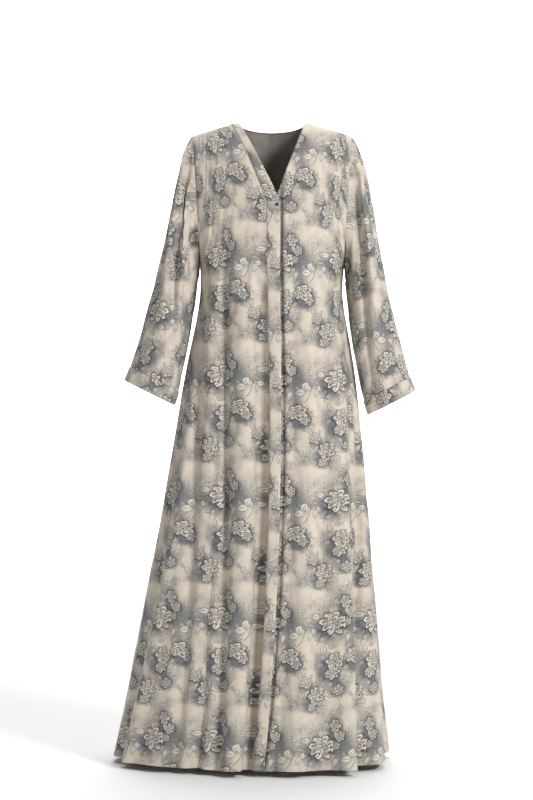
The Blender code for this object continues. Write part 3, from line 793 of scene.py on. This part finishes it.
def print_group():
    """The crepe's print: pale peonies and leaves, drawn in taupe on blue-grey clouds."""
    tree, known, leave = new_group("peony_print", (("Grain", "NodeSocketVector", None),),
                                   (("Color", "NodeSocketColor"),))
    known["grain"] = known["Grain"]
    colours, line = bpy.context.scene.abaya_colours, bpy.context.scene.abaya_print.line * 1000
    chart_cell(tree, known)
    known["haze"] = cell_noise(tree, known, 26.0, 2.0)
    known["crumble"] = cell_noise(tree, known, 4.5, 3.0)
    known["sway"] = cell_noise(tree, known, 14.0, 1.0)
    work_out(tree, known, ("sway", "Math", "MULTIPLY_ADD", "sway", 3.0, -1.5),
             ("drawn_at", "VectorMath", "ADD", "mm", "sway"),
             ("cloud", "Math", "MULTIPLY_ADD", "crumble", 0.3, -0.15),
             ("edge_noise", "Math", "MULTIPLY_ADD", "haze", 0.7, -0.35),
             ("cloud", "Math", "ADD", "cloud", "edge_noise"))
    around = tuple((x - 3, y - 4, 1.3 * wide, 1.3 * tall, 0.55)
                   for x, y, wide, tall, _, _ in FLOWERS)
    for x, y, wide, tall, strength in CLOUDS + around:
        known["near"] = motif_place(tree, known, x, y, 0, (wide, tall, 1))
        work_out(tree, known, ("far", "VectorMath", "LENGTH", "near"),
                 ("blob", "MapRange", "SMOOTHSTEP", "far", 0.1, 1.6, strength, 0.0),
                 ("cloud", "Math", "ADD", "cloud", "blob"))
    work_out(tree, known,
             ("mask", "MapRange", "SMOOTHSTEP", "cloud", 0.08, 1.0, 0.0, 1.0),
             ("mist", "MapRange", "SMOOTHSTEP", "haze", 0.4, 0.72, 0.0, 0.75))
    ground = add(tree, "ShaderNodeMix", known["mist"], (*colours.ground, 1),
                 (*colours.shade, 1), data_type="RGBA")
    ground = add(tree, "ShaderNodeMix", known["mask"], ground, (*colours.cloud, 1),
                 data_type="RGBA")
    known["light"] = known["ink"] = None
    flower, leaf = flower_group(), leaf_group()
    drawn = [(leaf, x, y, turn, (long / 2, long / 2, 1), wide / long, 1.6 * line / long)
             for x, y, long, wide, turn in LEAVES]
    drawn += [(flower, x, y, turn, (wide, tall, 1), float(petals), line / wide, x + 0.1 * y)
              for x, y, wide, tall, turn, petals in FLOWERS]
    for group, x, y, turn, size, *values in drawn:
        place = motif_place(tree, known, x, y, turn, size)
        motif = add(tree, "ShaderNodeGroup", node_tree=group).node
        tree.links.new(place, motif.inputs["Place"])
        for socket, value in zip(motif.inputs[1:], values):
            socket.default_value = value
        known["new"], known["strokes"] = motif.outputs[0], motif.outputs[1]
        if known["light"] is None:
            known["light"], known["ink"] = known["new"], known["strokes"]
        else:  # each motif lies over those before it
            work_out(tree, known,
                     ("bare", "Math", "SUBTRACT", 1.0, "new"),
                     ("ink", "Math", "MULTIPLY", "ink", "bare"),
                     ("ink", "Math", "MAXIMUM", "ink", "strokes"),
                     ("light", "Math", "MAXIMUM", "light", "new"))
    for x, y, radius, first, last in STEMS:
        middle, reach = (first + last) / 2, math.radians(last - first) / 2
        known["near"] = motif_place(tree, known, x, y, middle, (1, 1, 1))
        apart = add(tree, "ShaderNodeSeparateXYZ", known["near"]).node
        known["nx"], known["ny"] = apart.outputs[0], apart.outputs[1]
        work_out(tree, known,
                 ("far", "VectorMath", "LENGTH", "near"),
                 ("off", "Math", "SUBTRACT", "far", float(radius)),
                 ("off", "Math", "ABSOLUTE", "off"),
                 ("stroke", "MapRange", "SMOOTHSTEP", "off", 0.2, 0.8 * line, 0.6, 0.0),
                 ("turned", "Math", "ARCTAN2", "ny", "nx"),
                 ("turned", "Math", "ABSOLUTE", "turned"),
                 ("within", "MapRange", "SMOOTHSTEP", "turned", reach * 0.85, reach, 1.0, 0.0),
                 ("stroke", "Math", "MULTIPLY", "stroke", "within"),
                 ("ink", "Math", "MAXIMUM", "ink", "stroke"))
    work_out(tree, known,
             ("band", "MapRange", "SMOOTHSTEP", "mask", 0.16, 0.42, 0.0, 1.0),
             ("out", "MapRange", "SMOOTHSTEP", "mask", 0.35, 0.75, 1.0, 0.0),
             ("band", "Math", "MULTIPLY", "band", "out"),
             ("speck", "MapRange", "SMOOTHSTEP", "crumble", 0.48, 0.62, 0.0, 0.42),
             ("speck", "Math", "MULTIPLY", "speck", "band"),
             ("bare", "Math", "SUBTRACT", 1.0, "light"),
             ("speck", "Math", "MULTIPLY", "speck", "bare"),
             ("ink", "Math", "MAXIMUM", "ink", "speck"))
    tinted = add(tree, "ShaderNodeMix", known["light"], ground, (*colours.petal, 1),
                 data_type="RGBA")
    inked = add(tree, "ShaderNodeMix", known["ink"], tinted, (*colours.ink, 1),
                data_type="RGBA")
    tree.links.new(inked, leave.inputs["Color"])
    return tree


def woven(material, colour, grain):
    """Gives a cloth material its colour and its weave. Crepe's threads are 0.2 mm apart, too
    fine to show, so its pebbled surface is drawn about 0.9 mm across."""
    tree = material.node_tree
    shader = tree.nodes["Principled BSDF"]
    pebble = add(tree, "ShaderNodeTexNoise", grain, 1100.0, 2.0, 0.6, noise_dimensions="2D")
    slub = add(tree, "ShaderNodeMapping", grain, (0, 0, 0), (0, 0, 0), (1, 0.12, 1))
    slub = add(tree, "ShaderNodeTexNoise", slub, 420.0, 1.0, 0.5, noise_dimensions="2D")
    both = add(tree, "ShaderNodeMath", pebble, slub, operation="ADD")
    tone = add(tree, "ShaderNodeMapRange", both, 0.6, 1.4, 0.95, 1.03)
    toned = add(tree, "ShaderNodeVectorMath", colour, tone, operation="SCALE")
    tree.links.new(toned, shader.inputs["Base Color"])
    bump = add(tree, "ShaderNodeBump", 0.35, 0.0003).node
    tree.links.new(both, bump.inputs["Height"])
    tree.links.new(bump.outputs[0], shader.inputs["Normal"])
    shader.inputs["Roughness"].default_value = 0.78
    shader.inputs["Sheen Weight"].default_value = 0.12
    shader.inputs["Sheen Roughness"].default_value = 0.5
    shader.inputs["Specular IOR Level"].default_value = 0.3


def plain_material(name, colour, roughness, metallic=0.0):
    made = bpy.data.materials.new(name)
    made.use_nodes = True
    shader = made.node_tree.nodes["Principled BSDF"]
    shader.inputs["Base Color"].default_value = (*colour, 1)
    shader.inputs["Roughness"].default_value = roughness
    shader.inputs["Metallic"].default_value = metallic
    return made


def cloth_materials():
    """The printed face and the plain reverse of the crepe, made once."""
    if "printed_crepe" in bpy.data.materials:
        return bpy.data.materials["printed_crepe"], bpy.data.materials["crepe_reverse"]
    colours = bpy.context.scene.abaya_colours
    # Polyester crepe, plain woven from hard-twisted yarn and then printed: matt, slightly
    # pebbled, with a soft bloom where it turns away.
    face = plain_material("printed_crepe", colours.ground, 0.78)
    grain = add(face.node_tree, "ShaderNodeUVMap", uv_map=GRAIN_MAP)
    colour = add(face.node_tree, "ShaderNodeGroup", grain, node_tree=print_group())
    woven(face, colour, grain)
    # The same cloth seen from inside, where the print hardly shows through.
    reverse = plain_material("crepe_reverse", colours.reverse, 0.85)
    grain = add(reverse.node_tree, "ShaderNodeUVMap", uv_map=GRAIN_MAP)
    shadow = add(reverse.node_tree, "ShaderNodeTexNoise", grain, 14.0, 2.0, 0.5,
                 noise_dimensions="2D")
    faint = add(reverse.node_tree, "ShaderNodeMapRange", shadow, 0.35, 0.65, 0.0, 0.5)
    colour = add(reverse.node_tree, "ShaderNodeMix", faint, (*colours.reverse, 1),
                 (*colours.cloud, 1), data_type="RGBA")
    woven(reverse, colour, grain)
    return face, reverse


# ---------------------------------------------------------------------------------------------
# Shells


def put_in_scene(name, data):
    made = bpy.data.objects.new(name, data)
    bpy.context.scene.collection.objects.link(made)
    return made


GRAIN_MAP = "cloth_grain"

# Each piece: where the print's leaf trio lies on its grain, across and up, in metres.
PRINT_PLACE = {
    "back": (0.036, 0.060), "front_right": (-0.045, 0.0), "front_left": (0.055, -0.012),
    "placket": (0.005, -0.154), "neckband": (0.030, 0.075),
    "sleeve_right": (-0.020, -0.060), "sleeve_left": (0.015, -0.095),
    "cuff_right": (0.050, 0.090), "cuff_left": (-0.030, 0.120),
}

# Creases on each piece's grain: from and to (across, up) in mm, half width and height in mm.
CREASES = {
    "front_right": (
        ((-16, 0), (-18, -1110), 13, -14), ((-56, -60), (-52, -1080), 22, 7),
        ((-98, 30), (-110, -600), 12, -15), ((-110, -440), (-96, -1110), 15, -18),
        ((-134, -60), (-150, -1000), 16, 6), ((-168, -120), (-206, -1060), 17, -15),
        ((-160, 95), (-96, 10), 9, -3), ((-172, 60), (-118, -30), 9, 2.5),
        ((-176, 20), (-132, -90), 10, -3.5), ((-66, 110), (-70, -90), 12, 2.5),
        ((-44, 70), (-36, -160), 9, -2.5), ((-90, 90), (-98, -60), 10, -3),
    ),
    "front_left": (
        ((24, -60), (22, -1060), 12, -6), ((58, -100), (60, -1080), 20, 5),
        ((96, -40), (104, -1060), 15, -9), ((140, -120), (150, -900), 16, 5),
        ((206, -260), (238, -1110), 9, -14),
        ((150, 100), (92, 20), 9, -3), ((160, 55), (112, -40), 9, 2.5),
        ((168, 15), (132, -100), 9, -3.5), ((52, 70), (56, -120), 12, 2.5),
        ((76, 80), (84, -90), 10, -2.5), ((36, 40), (34, -200), 9, -2.5),
    ),
    "back": (
        ((-150, 110), (-60, 60), 12, -3), ((150, 110), (60, 60), 12, -3),
        ((-160, 40), (-110, -70), 10, 3), ((160, 40), (110, -70), 10, 3),
        ((-40, -40), (-46, -1000), 13, -6), ((44, -40), (50, -1000), 13, -6),
        ((0, 80), (0, -700), 18, 4), ((-110, -120), (-120, -900), 14, -5),
        ((110, -120), (122, -900), 14, -5), ((-180, -500), (-196, -1040), 12, -5),
        ((180, -500), (196, -1040), 12, -5),
    ),
    "sleeve_right": (
        ((-12, 90), (-28, -360), 8, -8), ((10, 110), (0, -330), 9, 5),
        ((28, 120), (26, -300), 8, -8), ((48, 110), (52, -260), 9, 4.5),
        ((66, 90), (74, -300), 9, -6), ((-40, 50), (-60, -280), 10, 3.5),
        ((-66, 10), (-80, -240), 9, -3.5), ((-44, -120), (30, -155), 9, -2.5),
        ((-34, -160), (44, -190), 9, 2.2), ((-50, -230), (20, -205), 9, -2.2),
    ),
    "sleeve_left": (
        ((14, 90), (30, -330), 9, -6), ((-10, 110), (-2, -300), 10, 4.5),
        ((-34, 110), (-32, -260), 9, -6), ((40, 50), (58, -250), 11, 3),
        ((66, 10), (78, -240), 9, -3), ((-60, 90), (-70, -280), 10, 3),
        ((44, -125), (-26, -160), 9, -2.5), ((36, -165), (-40, -200), 9, 2.2),
    ),
}


CREASE_CLEAR = 0.007  # creases and unevenness fade out within these of a side seam,
RIPPLE_CLEAR = 0.022
END_CLEAR = 0.03  # and within this of a shoulder seam, an armhole or a cuff
SEAM_REACH = 0.0028  # how far the cloth sinks to each side of a seam
HEM_STEP = 0.0006  # the turned hem's extra thickness


def surface_lift(name, points, closed, grain):
    """How far the finished cloth stands off its form: unevenness, creases, seams and hem."""
    sizes = bpy.context.scene.abaya_cloth
    side, foot, top = from_edges(points, closed)
    lift = np.zeros(points.shape[:2])
    if name in CREASES:
        seed = sorted(CREASES).index(name)
        for start, end, width, height in CREASES[name]:
            start, end = np.array(start) / 1000, np.array(end) / 1000
            lift += crease(grain, start, end, width / 1000, height / 1000)
        lift *= smooth(side / CREASE_CLEAR)
        lift += ripple(grain, seed, sizes.ripple, 0.05, 0.22) * smooth(side / RIPPLE_CLEAR)
        lift *= smooth(top / END_CLEAR)
        if closed:
            lift *= smooth(foot / END_CLEAR)
        sewn = np.maximum(bell(side, 0.0024), bell(top, SEAM_REACH))
        if closed:
            sewn = np.maximum(sewn, bell(foot, SEAM_REACH))
        lift -= sizes.seam * sewn
        if not closed:
            turned = 1 - smooth((foot - sizes.hem) / 0.003)
            lift += HEM_STEP * turned - HEM_STEP * bell(foot - sizes.hem, 0.002)
    else:
        edge = np.minimum(np.minimum(side, foot), top)
        lift += sizes.band * (1 - bell(edge, 0.0018))
        lift += ripple(grain, 7, sizes.ripple * 0.3, 0.03, 0.05) * smooth(edge / 0.006)
    return lift


def build_shell(name, points, normals, closed, grain, wall):
    """A closed thin wall from a grid: its printed face, its reverse and the rim between."""
    rows, cols = points.shape[:2]
    spans = cols if closed else cols - 1
    i, j = np.meshgrid(np.arange(rows - 1), np.arange(spans), indexing="ij")
    a = (i * cols + j).ravel()
    b = (i * cols + (j + 1) % cols).ravel()
    under = rows * cols
    face = np.stack([a, b, b + cols, a + cols], axis=1)
    back = face[:, ::-1] + under
    foot_a, foot_b = a[:spans], b[:spans]
    head_a, head_b = foot_a + (rows - 1) * cols, foot_b + (rows - 1) * cols
    rims = [np.stack([foot_b, foot_a, foot_a + under, foot_b + under], axis=1),
            np.stack([head_a, head_b, head_b + under, head_a + under], axis=1)]
    if not closed:
        low = np.arange(rows - 1) * cols
        rims.append(np.stack([low, low + cols, low + cols + under, low + under], axis=1))
        low = low + cols - 1
        rims.append(np.stack([low + cols, low, low + under, low + cols + under], axis=1))
    faces = np.concatenate([face, back, *rims])
    verts = np.concatenate([points.reshape(-1, 3), (points - normals * wall).reshape(-1, 3)])
    mesh = bpy.data.meshes.new(name)
    mesh.from_pydata(verts.tolist(), [], faces.tolist())

    wide = grain.shape[1]
    start = (i * wide + j).ravel()
    corner = np.stack([start, start + 1, start + 1 + wide, start + wide], axis=1)
    flat = grain.reshape(-1, 2)
    at_vertex = np.tile(grain[:, :cols].reshape(-1, 2), (2, 1))
    grain_at = np.concatenate([flat[corner], flat[corner[:, ::-1]],
                               at_vertex[np.concatenate(rims)]])
    layer = mesh.uv_layers.new(name=GRAIN_MAP)
    layer.data.foreach_set("uv", grain_at.astype(np.float32).ravel())
    index = np.zeros(len(faces), np.int32)
    index[len(face):2 * len(face)] = 1
    mesh.polygons.foreach_set("material_index", index)
    for material in cloth_materials():
        mesh.materials.append(material)
    mesh.shade_smooth()
    mesh.set_sharp_from_angle(angle=math.radians(50))
    mesh.update()
    return put_in_scene(name + "_cloth", mesh)


FORM = {}  # the grids, their normals and grains, worked out once by the first operator


def form():
    """The finished surface of every cloth piece."""
    if FORM:
        return FORM
    grids, normals, closed = form_grids()
    for name, points in grids.items():
        if closed[name]:
            under = int(np.argmin(np.abs(points[len(points) // 2, :, 0])))
            points = np.roll(points, -under, axis=1)
            normals[name] = np.roll(normals[name], -under, axis=1)
            front = int(np.argmin(points[len(points) // 2, :, 1]))
            grain = tube_grain(points, front)
            if name.startswith("cuff"):
                grain[..., 1] -= SLEEVE_LENGTH
        elif name == "neckband":
            grain = band_grain(points)
        else:
            anchor = {"front_right": points.shape[1] - 1, "placket": 0, "front_left": 0,
                      "back": points.shape[1] // 2}[name]
            grain = body_grain(points, anchor)
        if name == "front_left":
            grain[..., 0] -= np.linalg.norm(
                grids["placket"][:, -1] - grids["placket"][:, 0], axis=1)[0]
        at_grain = grain[:, :points.shape[1]]
        lift = surface_lift(name, points, closed[name], at_grain)
        if name == "front_left":
            lift -= under_lap(at_grain[..., 0])
        finished = points + normals[name] * lift[..., None]
        FORM[name] = {"points": finished, "normals": normals[name], "closed": closed[name],
                      "grain": grain}
    return FORM


SLEEVE_LENGTH = 0.52  # armhole to cuff seam, so that a cuff's print doesn't follow its sleeve


DIP = (0.0115, 0.0055)  # the step down at the placket's free edge: its depth and its width


def under_lap(across):
    """The left front passes under the placket, and comes up to the form beyond it."""
    depth, width = DIP
    deep = TUCK * (1 - smooth(across / 0.16))
    return deep + depth * bell(np.maximum(across, 0), width)


def printed_at(name, grain):
    """The grain with the print's own origin. The left front's print drifts to the side over
    the bust, as the panel is eased there."""
    across, up = PRINT_PLACE[name]
    placed = grain - np.array([across, up])
    if name == "front_left":
        placed[..., 0] -= 0.020 * smooth((grain[..., 1] + 0.29) / 0.29)
    return placed


def make_cloth(name):
    """One cloth piece, from its grid to its shell."""
    part = form()[name]
    wall = bpy.context.scene.abaya_cloth.wall
    piece = build_shell(name, part["points"], part["normals"], part["closed"],
                        printed_at(name, part["grain"]), wall)
    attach(piece, "root")
    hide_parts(name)
    return piece


# ---------------------------------------------------------------------------------------------
# Stitches and the snap


def inset_line(part, inset, from_side, from_end, last=None):
    """The line that runs a given distance inside one edge of a piece, just proud of it."""
    points = part["points"] + part["normals"] * 0.0002
    if from_side:
        points = points.swapaxes(0, 1)
    if from_end:
        points = points[::-1]
    run = np.zeros(points.shape[:2])
    run[1:] = np.cumsum(steps_between(points, 0), axis=0)
    line = [[np.interp(inset, run[:, k], points[:, k, axis]) for axis in range(3)]
            for k in range(points.shape[1])]
    return np.array(line)[:last]


def stitch_lines():
    """Where the rows of topstitching run."""
    parts = form()
    sizes = bpy.context.scene.abaya_stitches
    hem = bpy.context.scene.abaya_cloth.hem
    lines = []
    for name in ("placket", "neckband"):
        for from_end in (False, True):
            lines.append(inset_line(parts[name], sizes.inset, True, from_end))
    for name in ("front_right", "front_left", "back"):
        lines.append(inset_line(parts[name], hem, False, False))
    for side in ("right", "left"):
        for from_end in (False, True):
            ring = inset_line(parts["cuff_" + side], sizes.inset, False, from_end)
            lines.append(np.concatenate([ring, ring[:1]]))
    for name in ("front_left", "back"):
        top = parts[name]["points"][-1]
        line = inset_line(parts[name], 2 * sizes.inset, False, True)
        free = np.abs(top[:, 0]) < NECK_HALF
        if name == "front_left":
            free &= parts[name]["grain"][-1, :, 0] > 0.002
        lines.append(line[free])
    return lines


def stitch_tree(thread):
    """Geometry Nodes: short capsules of thread, end to end along each line."""
    tree = bpy.data.node_groups.new("topstitching", "GeometryNodeTree")
    sockets = {}
    for label, kind, value in (("Geometry", "NodeSocketGeometry", None),
                               ("Pitch", "NodeSocketFloat", 0.003),
                               ("Length", "NodeSocketFloat", 0.002),
                               ("Thread", "NodeSocketFloat", 0.0004),
                               ("Seed", "NodeSocketInt", 5)):
        socket = tree.interface.new_socket(label, in_out="INPUT", socket_type=kind)
        if value is not None:
            socket.default_value = value
        sockets[label] = socket.identifier
    tree.interface.new_socket("Geometry", in_out="OUTPUT", socket_type="NodeSocketGeometry")
    entry = {s.name: s for s in tree.nodes.new("NodeGroupInput").outputs if s.name}
    leave = tree.nodes.new("NodeGroupOutput")
    curve = add(tree, "GeometryNodeMeshToCurve", entry["Geometry"])
    spaced = add(tree, "GeometryNodeResampleCurve", curve, mode="LENGTH").node
    tree.links.new(entry["Pitch"], spaced.inputs["Length"])
    way = add(tree, "GeometryNodeInputTangent")
    turn = add(tree, "FunctionNodeAlignRotationToVector", None, None, way, axis="Z")
    capsule = add(tree, "GeometryNodeMeshIcoSphere", 0.5, 1)
    vary = add(tree, "FunctionNodeRandomValue", data_type="FLOAT").node
    low, high = [s for s in vary.inputs if s.enabled][:2]
    low.default_value, high.default_value = 0.88, 1.08
    tree.links.new(entry["Seed"], vary.inputs["Seed"])
    made = next(s for s in vary.outputs if s.enabled)
    long = add(tree, "ShaderNodeMath", entry["Length"], made, operation="MULTIPLY")
    size = add(tree, "ShaderNodeCombineXYZ", entry["Thread"], entry["Thread"], long)
    placed = add(tree, "GeometryNodeInstanceOnPoints", spaced.outputs[0]).node
    tree.links.new(capsule, placed.inputs["Instance"])
    tree.links.new(turn, placed.inputs["Rotation"])
    tree.links.new(size, placed.inputs["Scale"])
    whole = add(tree, "GeometryNodeRealizeInstances", placed.outputs[0])
    finished = add(tree, "GeometryNodeSetMaterial", whole).node
    finished.inputs["Material"].default_value = thread
    tree.links.new(finished.outputs[0], leave.inputs[0])
    return tree, sockets


def make_stitching():
    """All the topstitching as one plain mesh."""
    sizes = bpy.context.scene.abaya_stitches
    # Spun polyester sewing thread: matt and a little fuzzy.
    thread = plain_material("sewing_thread", sizes.colour, 0.7)
    lines = stitch_lines()
    verts, edges = [], []
    for line in lines:
        edges += [(len(verts) + k, len(verts) + k + 1) for k in range(len(line) - 1)]
        verts += line.tolist()
    mesh = bpy.data.meshes.new("stitch_lines")
    mesh.from_pydata(verts, edges, [])
    carrier = put_in_scene("stitch_lines", mesh)
    tree, sockets = stitch_tree(thread)
    modifier = carrier.modifiers.new("topstitching", "NODES")
    modifier.node_group = tree
    for label, value in (("Pitch", sizes.pitch), ("Length", sizes.length),
                         ("Thread", sizes.thread), ("Seed", 5)):
        modifier[sockets[label]] = value
    view = bpy.context.evaluated_depsgraph_get()
    plain = bpy.data.meshes.new_from_object(carrier.evaluated_get(view))
    bpy.data.objects.remove(carrier)
    plain.name = "stitching"
    plain.shade_smooth()
    piece = put_in_scene("stitching", plain)
    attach(piece, "root")
    return piece


# The snap's outline in mm: distance from its axis, and height off the band.
SNAP_PROFILE = ((0.0, 2.1), (1.2, 2.0), (1.9, 1.65), (2.2, 1.25), (2.35, 1.05), (2.9, 1.1),
                (3.35, 0.85), (3.45, 0.45), (3.3, 0.1), (0.0, 0.1))


def make_snap():
    """The cap of the snap: a small domed button in a rolled rim."""
    low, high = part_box("snap")
    centre = (low + high) / 2
    part = form()["placket"]
    off = np.linalg.norm(part["points"] - np.array(centre), axis=2)
    nearest = np.unravel_index(int(off.argmin()), off.shape)
    normal = Vector(part["normals"][nearest])
    foot = Vector(part["points"][nearest])
    foot = centre - normal * (centre - foot).dot(normal)
    bm = bmesh.new()
    last = [bm.verts.new((r / 1000, 0, h / 1000)) for r, h in SNAP_PROFILE]
    edges = [bm.edges.new(pair) for pair in zip(last, last[1:])]
    bmesh.ops.spin(bm, geom=last + edges, axis=(0, 0, 1), cent=(0, 0, 0), steps=40,
                   angle=2 * math.pi)
    bmesh.ops.remove_doubles(bm, verts=bm.verts, dist=1e-6)
    bmesh.ops.recalc_face_normals(bm, faces=bm.faces)
    turn = normal.to_track_quat("Z", "Y").to_matrix().to_4x4()
    bm.transform(Matrix.Translation(foot) @ turn)
    mesh = bpy.data.meshes.new("snap_cap")
    bm.to_mesh(mesh)
    bm.free()
    mesh.shade_smooth()
    mesh.set_sharp_from_angle(angle=math.radians(45))
    # Gunmetal-plated brass, pressed: dark, fairly smooth, with fine wear.
    metal = plain_material("gunmetal_plate", linear("3A3A3E"), 0.34, 1.0)
    tree = metal.node_tree
    shader = tree.nodes["Principled BSDF"]
    at = add(tree, "ShaderNodeTexCoord").node.outputs["Object"]
    scuff = add(tree, "ShaderNodeTexNoise", at, 1600.0, 3.0, 0.6)
    rough = add(tree, "ShaderNodeMapRange", scuff, 0.3, 0.7, 0.26, 0.48)
    tree.links.new(rough, shader.inputs["Roughness"])
    tint = add(tree, "ShaderNodeMapRange", scuff, 0.45, 0.75, 0.0, 0.5)
    colour = add(tree, "ShaderNodeMix", tint, (*linear("303034"), 1), (*linear("6A6762"), 1),
                 data_type="RGBA")
    tree.links.new(colour, shader.inputs["Base Color"])
    mesh.materials.append(metal)
    piece = put_in_scene("snap_cap", mesh)
    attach(piece, "root")
    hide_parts("snap")
    return piece


# ---------------------------------------------------------------------------------------------
# The stage


SWEEP_HALF = 14.0  # half the floor's width, and how far it runs forward
SWEEP_BACK = 12.0  # where the wall stands
SWEEP_ROUND = 1.6  # radius between floor and wall
SWEEP_TOP = 9.0
# Lights: name, place, what they face, size in metres and power in watts.
LIGHTS = (
    ("key", (2.8, -3.7, 1.8), (0, 0, -0.65), 1.2, 200.0),
    ("fill", (-3.4, -3.2, 0.4), (0, 0, -0.65), 2.6, 16.0),
    ("back_light", (0.0, 1.9, 4.0), (0, 0.2, -1.4), 3.8, 215.0),
    ("sweep_light", (0.0, 7.6, 3.6), (0, 12.0, -0.2), 5.0, 1250.0),
)


def make_stage():
    """A pale floor that sweeps up behind, soft studio light and the camera."""
    stage = bpy.context.scene.abaya_stage
    scene = bpy.context.scene
    bend = SWEEP_BACK - SWEEP_ROUND
    sweep = [(-SWEEP_HALF, 0.0), (bend, 0.0)]
    sweep += [(bend + SWEEP_ROUND * math.sin(a), SWEEP_ROUND * (1 - math.cos(a)))
              for a in np.linspace(0, math.pi / 2, 17)[1:]]
    sweep.append((SWEEP_BACK, SWEEP_TOP))
    verts = [(x, y, stage.floor + z) for y, z in sweep for x in (-SWEEP_HALF, SWEEP_HALF)]
    faces = [(2 * k, 2 * k + 1, 2 * k + 3, 2 * k + 2) for k in range(len(sweep) - 1)]
    mesh = bpy.data.meshes.new("floor")
    mesh.from_pydata(verts, [], faces)
    mesh.shade_smooth()
    # Matt painted studio sweep: even and almost white.
    paint = plain_material("studio_paint", linear("F7F7F7"), 0.9)
    mesh.materials.append(paint)
    put_in_scene("floor", mesh)

    world = scene.world or bpy.data.worlds.new("studio")
    scene.world = world
    world.use_nodes = True
    world.node_tree.nodes["Background"].inputs["Color"].default_value = (1, 1, 1, 1)
    world.node_tree.nodes["Background"].inputs["Strength"].default_value = 0.2
    for name, place, aim, size, power in LIGHTS:
        data = bpy.data.lights.new(name, "AREA")
        data.size, data.energy = size, power
        light = put_in_scene(name, data)
        light.location = place
        way = Vector(aim) - Vector(place)
        light.rotation_euler = way.to_track_quat("-Z", "Y").to_euler()

    camera = bpy.data.cameras.new("camera")
    camera.lens = camera.sensor_width / 2 / (stage.tall / 2 / stage.distance)
    camera.clip_end = 60
    eye = put_in_scene("camera", camera)
    eye.location = (stage.aside, -stage.distance, stage.eye)
    eye.rotation_euler = (math.pi / 2, 0, 0)
    scene.camera = eye
    scene.view_settings.view_transform = "Standard"


# ---------------------------------------------------------------------------------------------
# Operators and panel


class ABAYA_OT_body(bpy.types.Operator):
    """Makes the back and the two fronts"""
    bl_idname = "abaya.body"
    bl_label = "Body panels"

    def execute(self, context):
        for name in ("back", "front_right", "front_left"):
            make_cloth(name)
        return {"FINISHED"}


class ABAYA_OT_bands(bpy.types.Operator):
    """Makes the placket and the neckband"""
    bl_idname = "abaya.bands"
    bl_label = "Placket and neckband"

    def execute(self, context):
        for name in ("placket", "neckband"):
            make_cloth(name)
        return {"FINISHED"}


class ABAYA_OT_sleeves(bpy.types.Operator):
    """Makes both sleeves and their cuffs"""
    bl_idname = "abaya.sleeves"
    bl_label = "Sleeves and cuffs"

    def execute(self, context):
        for side in ("right", "left"):
            make_cloth("sleeve_" + side)
            make_cloth("cuff_" + side)
        return {"FINISHED"}


class ABAYA_OT_stitching(bpy.types.Operator):
    """Makes the rows of topstitching"""
    bl_idname = "abaya.stitching"
    bl_label = "Topstitching"

    def execute(self, context):
        make_stitching()
        return {"FINISHED"}


class ABAYA_OT_snap(bpy.types.Operator):
    """Makes the snap at the top of the placket"""
    bl_idname = "abaya.snap"
    bl_label = "Snap"

    def execute(self, context):
        make_snap()
        return {"FINISHED"}


class ABAYA_OT_stage(bpy.types.Operator):
    """Makes the floor, the lights and the camera"""
    bl_idname = "abaya.stage"
    bl_label = "Stage"

    def execute(self, context):
        make_stage()
        return {"FINISHED"}


OPERATORS = (ABAYA_OT_body, ABAYA_OT_bands, ABAYA_OT_sleeves, ABAYA_OT_stitching,
             ABAYA_OT_snap, ABAYA_OT_stage)
SETTINGS = {
    "abaya_cloth": ClothSizes, "abaya_print": PrintSizes, "abaya_colours": PrintColours,
    "abaya_stitches": StitchSizes, "abaya_stage": StageSettings,
}


class ABAYA_PT_panel(bpy.types.Panel):
    bl_label = "Abaya cloak"
    bl_idname = "ABAYA_PT_panel"
    bl_space_type = "VIEW_3D"
    bl_region_type = "UI"
    bl_category = "Abaya"

    def draw(self, context):
        for name, group in SETTINGS.items():
            box = self.layout.box()
            for field in group.__annotations__:
                box.prop(getattr(context.scene, name), field)
        for operator in OPERATORS:
            self.layout.operator(operator.bl_idname)


def register():
    for name, group in SETTINGS.items():
        bpy.utils.register_class(group)
        setattr(bpy.types.Scene, name, bpy.props.PointerProperty(type=group))
    for made in (*OPERATORS, ABAYA_PT_panel):
        bpy.utils.register_class(made)


def unregister():
    for made in (ABAYA_PT_panel, *reversed(OPERATORS)):
        bpy.utils.unregister_class(made)
    for name, group in SETTINGS.items():
        delattr(bpy.types.Scene, name)
        bpy.utils.unregister_class(group)


def main():
    register()
    bpy.ops.abaya.body()
    bpy.ops.abaya.bands()
    bpy.ops.abaya.sleeves()
    bpy.ops.abaya.stitching()
    bpy.ops.abaya.snap()
    bpy.ops.abaya.stage()


if __name__ == "__main__":
    main()
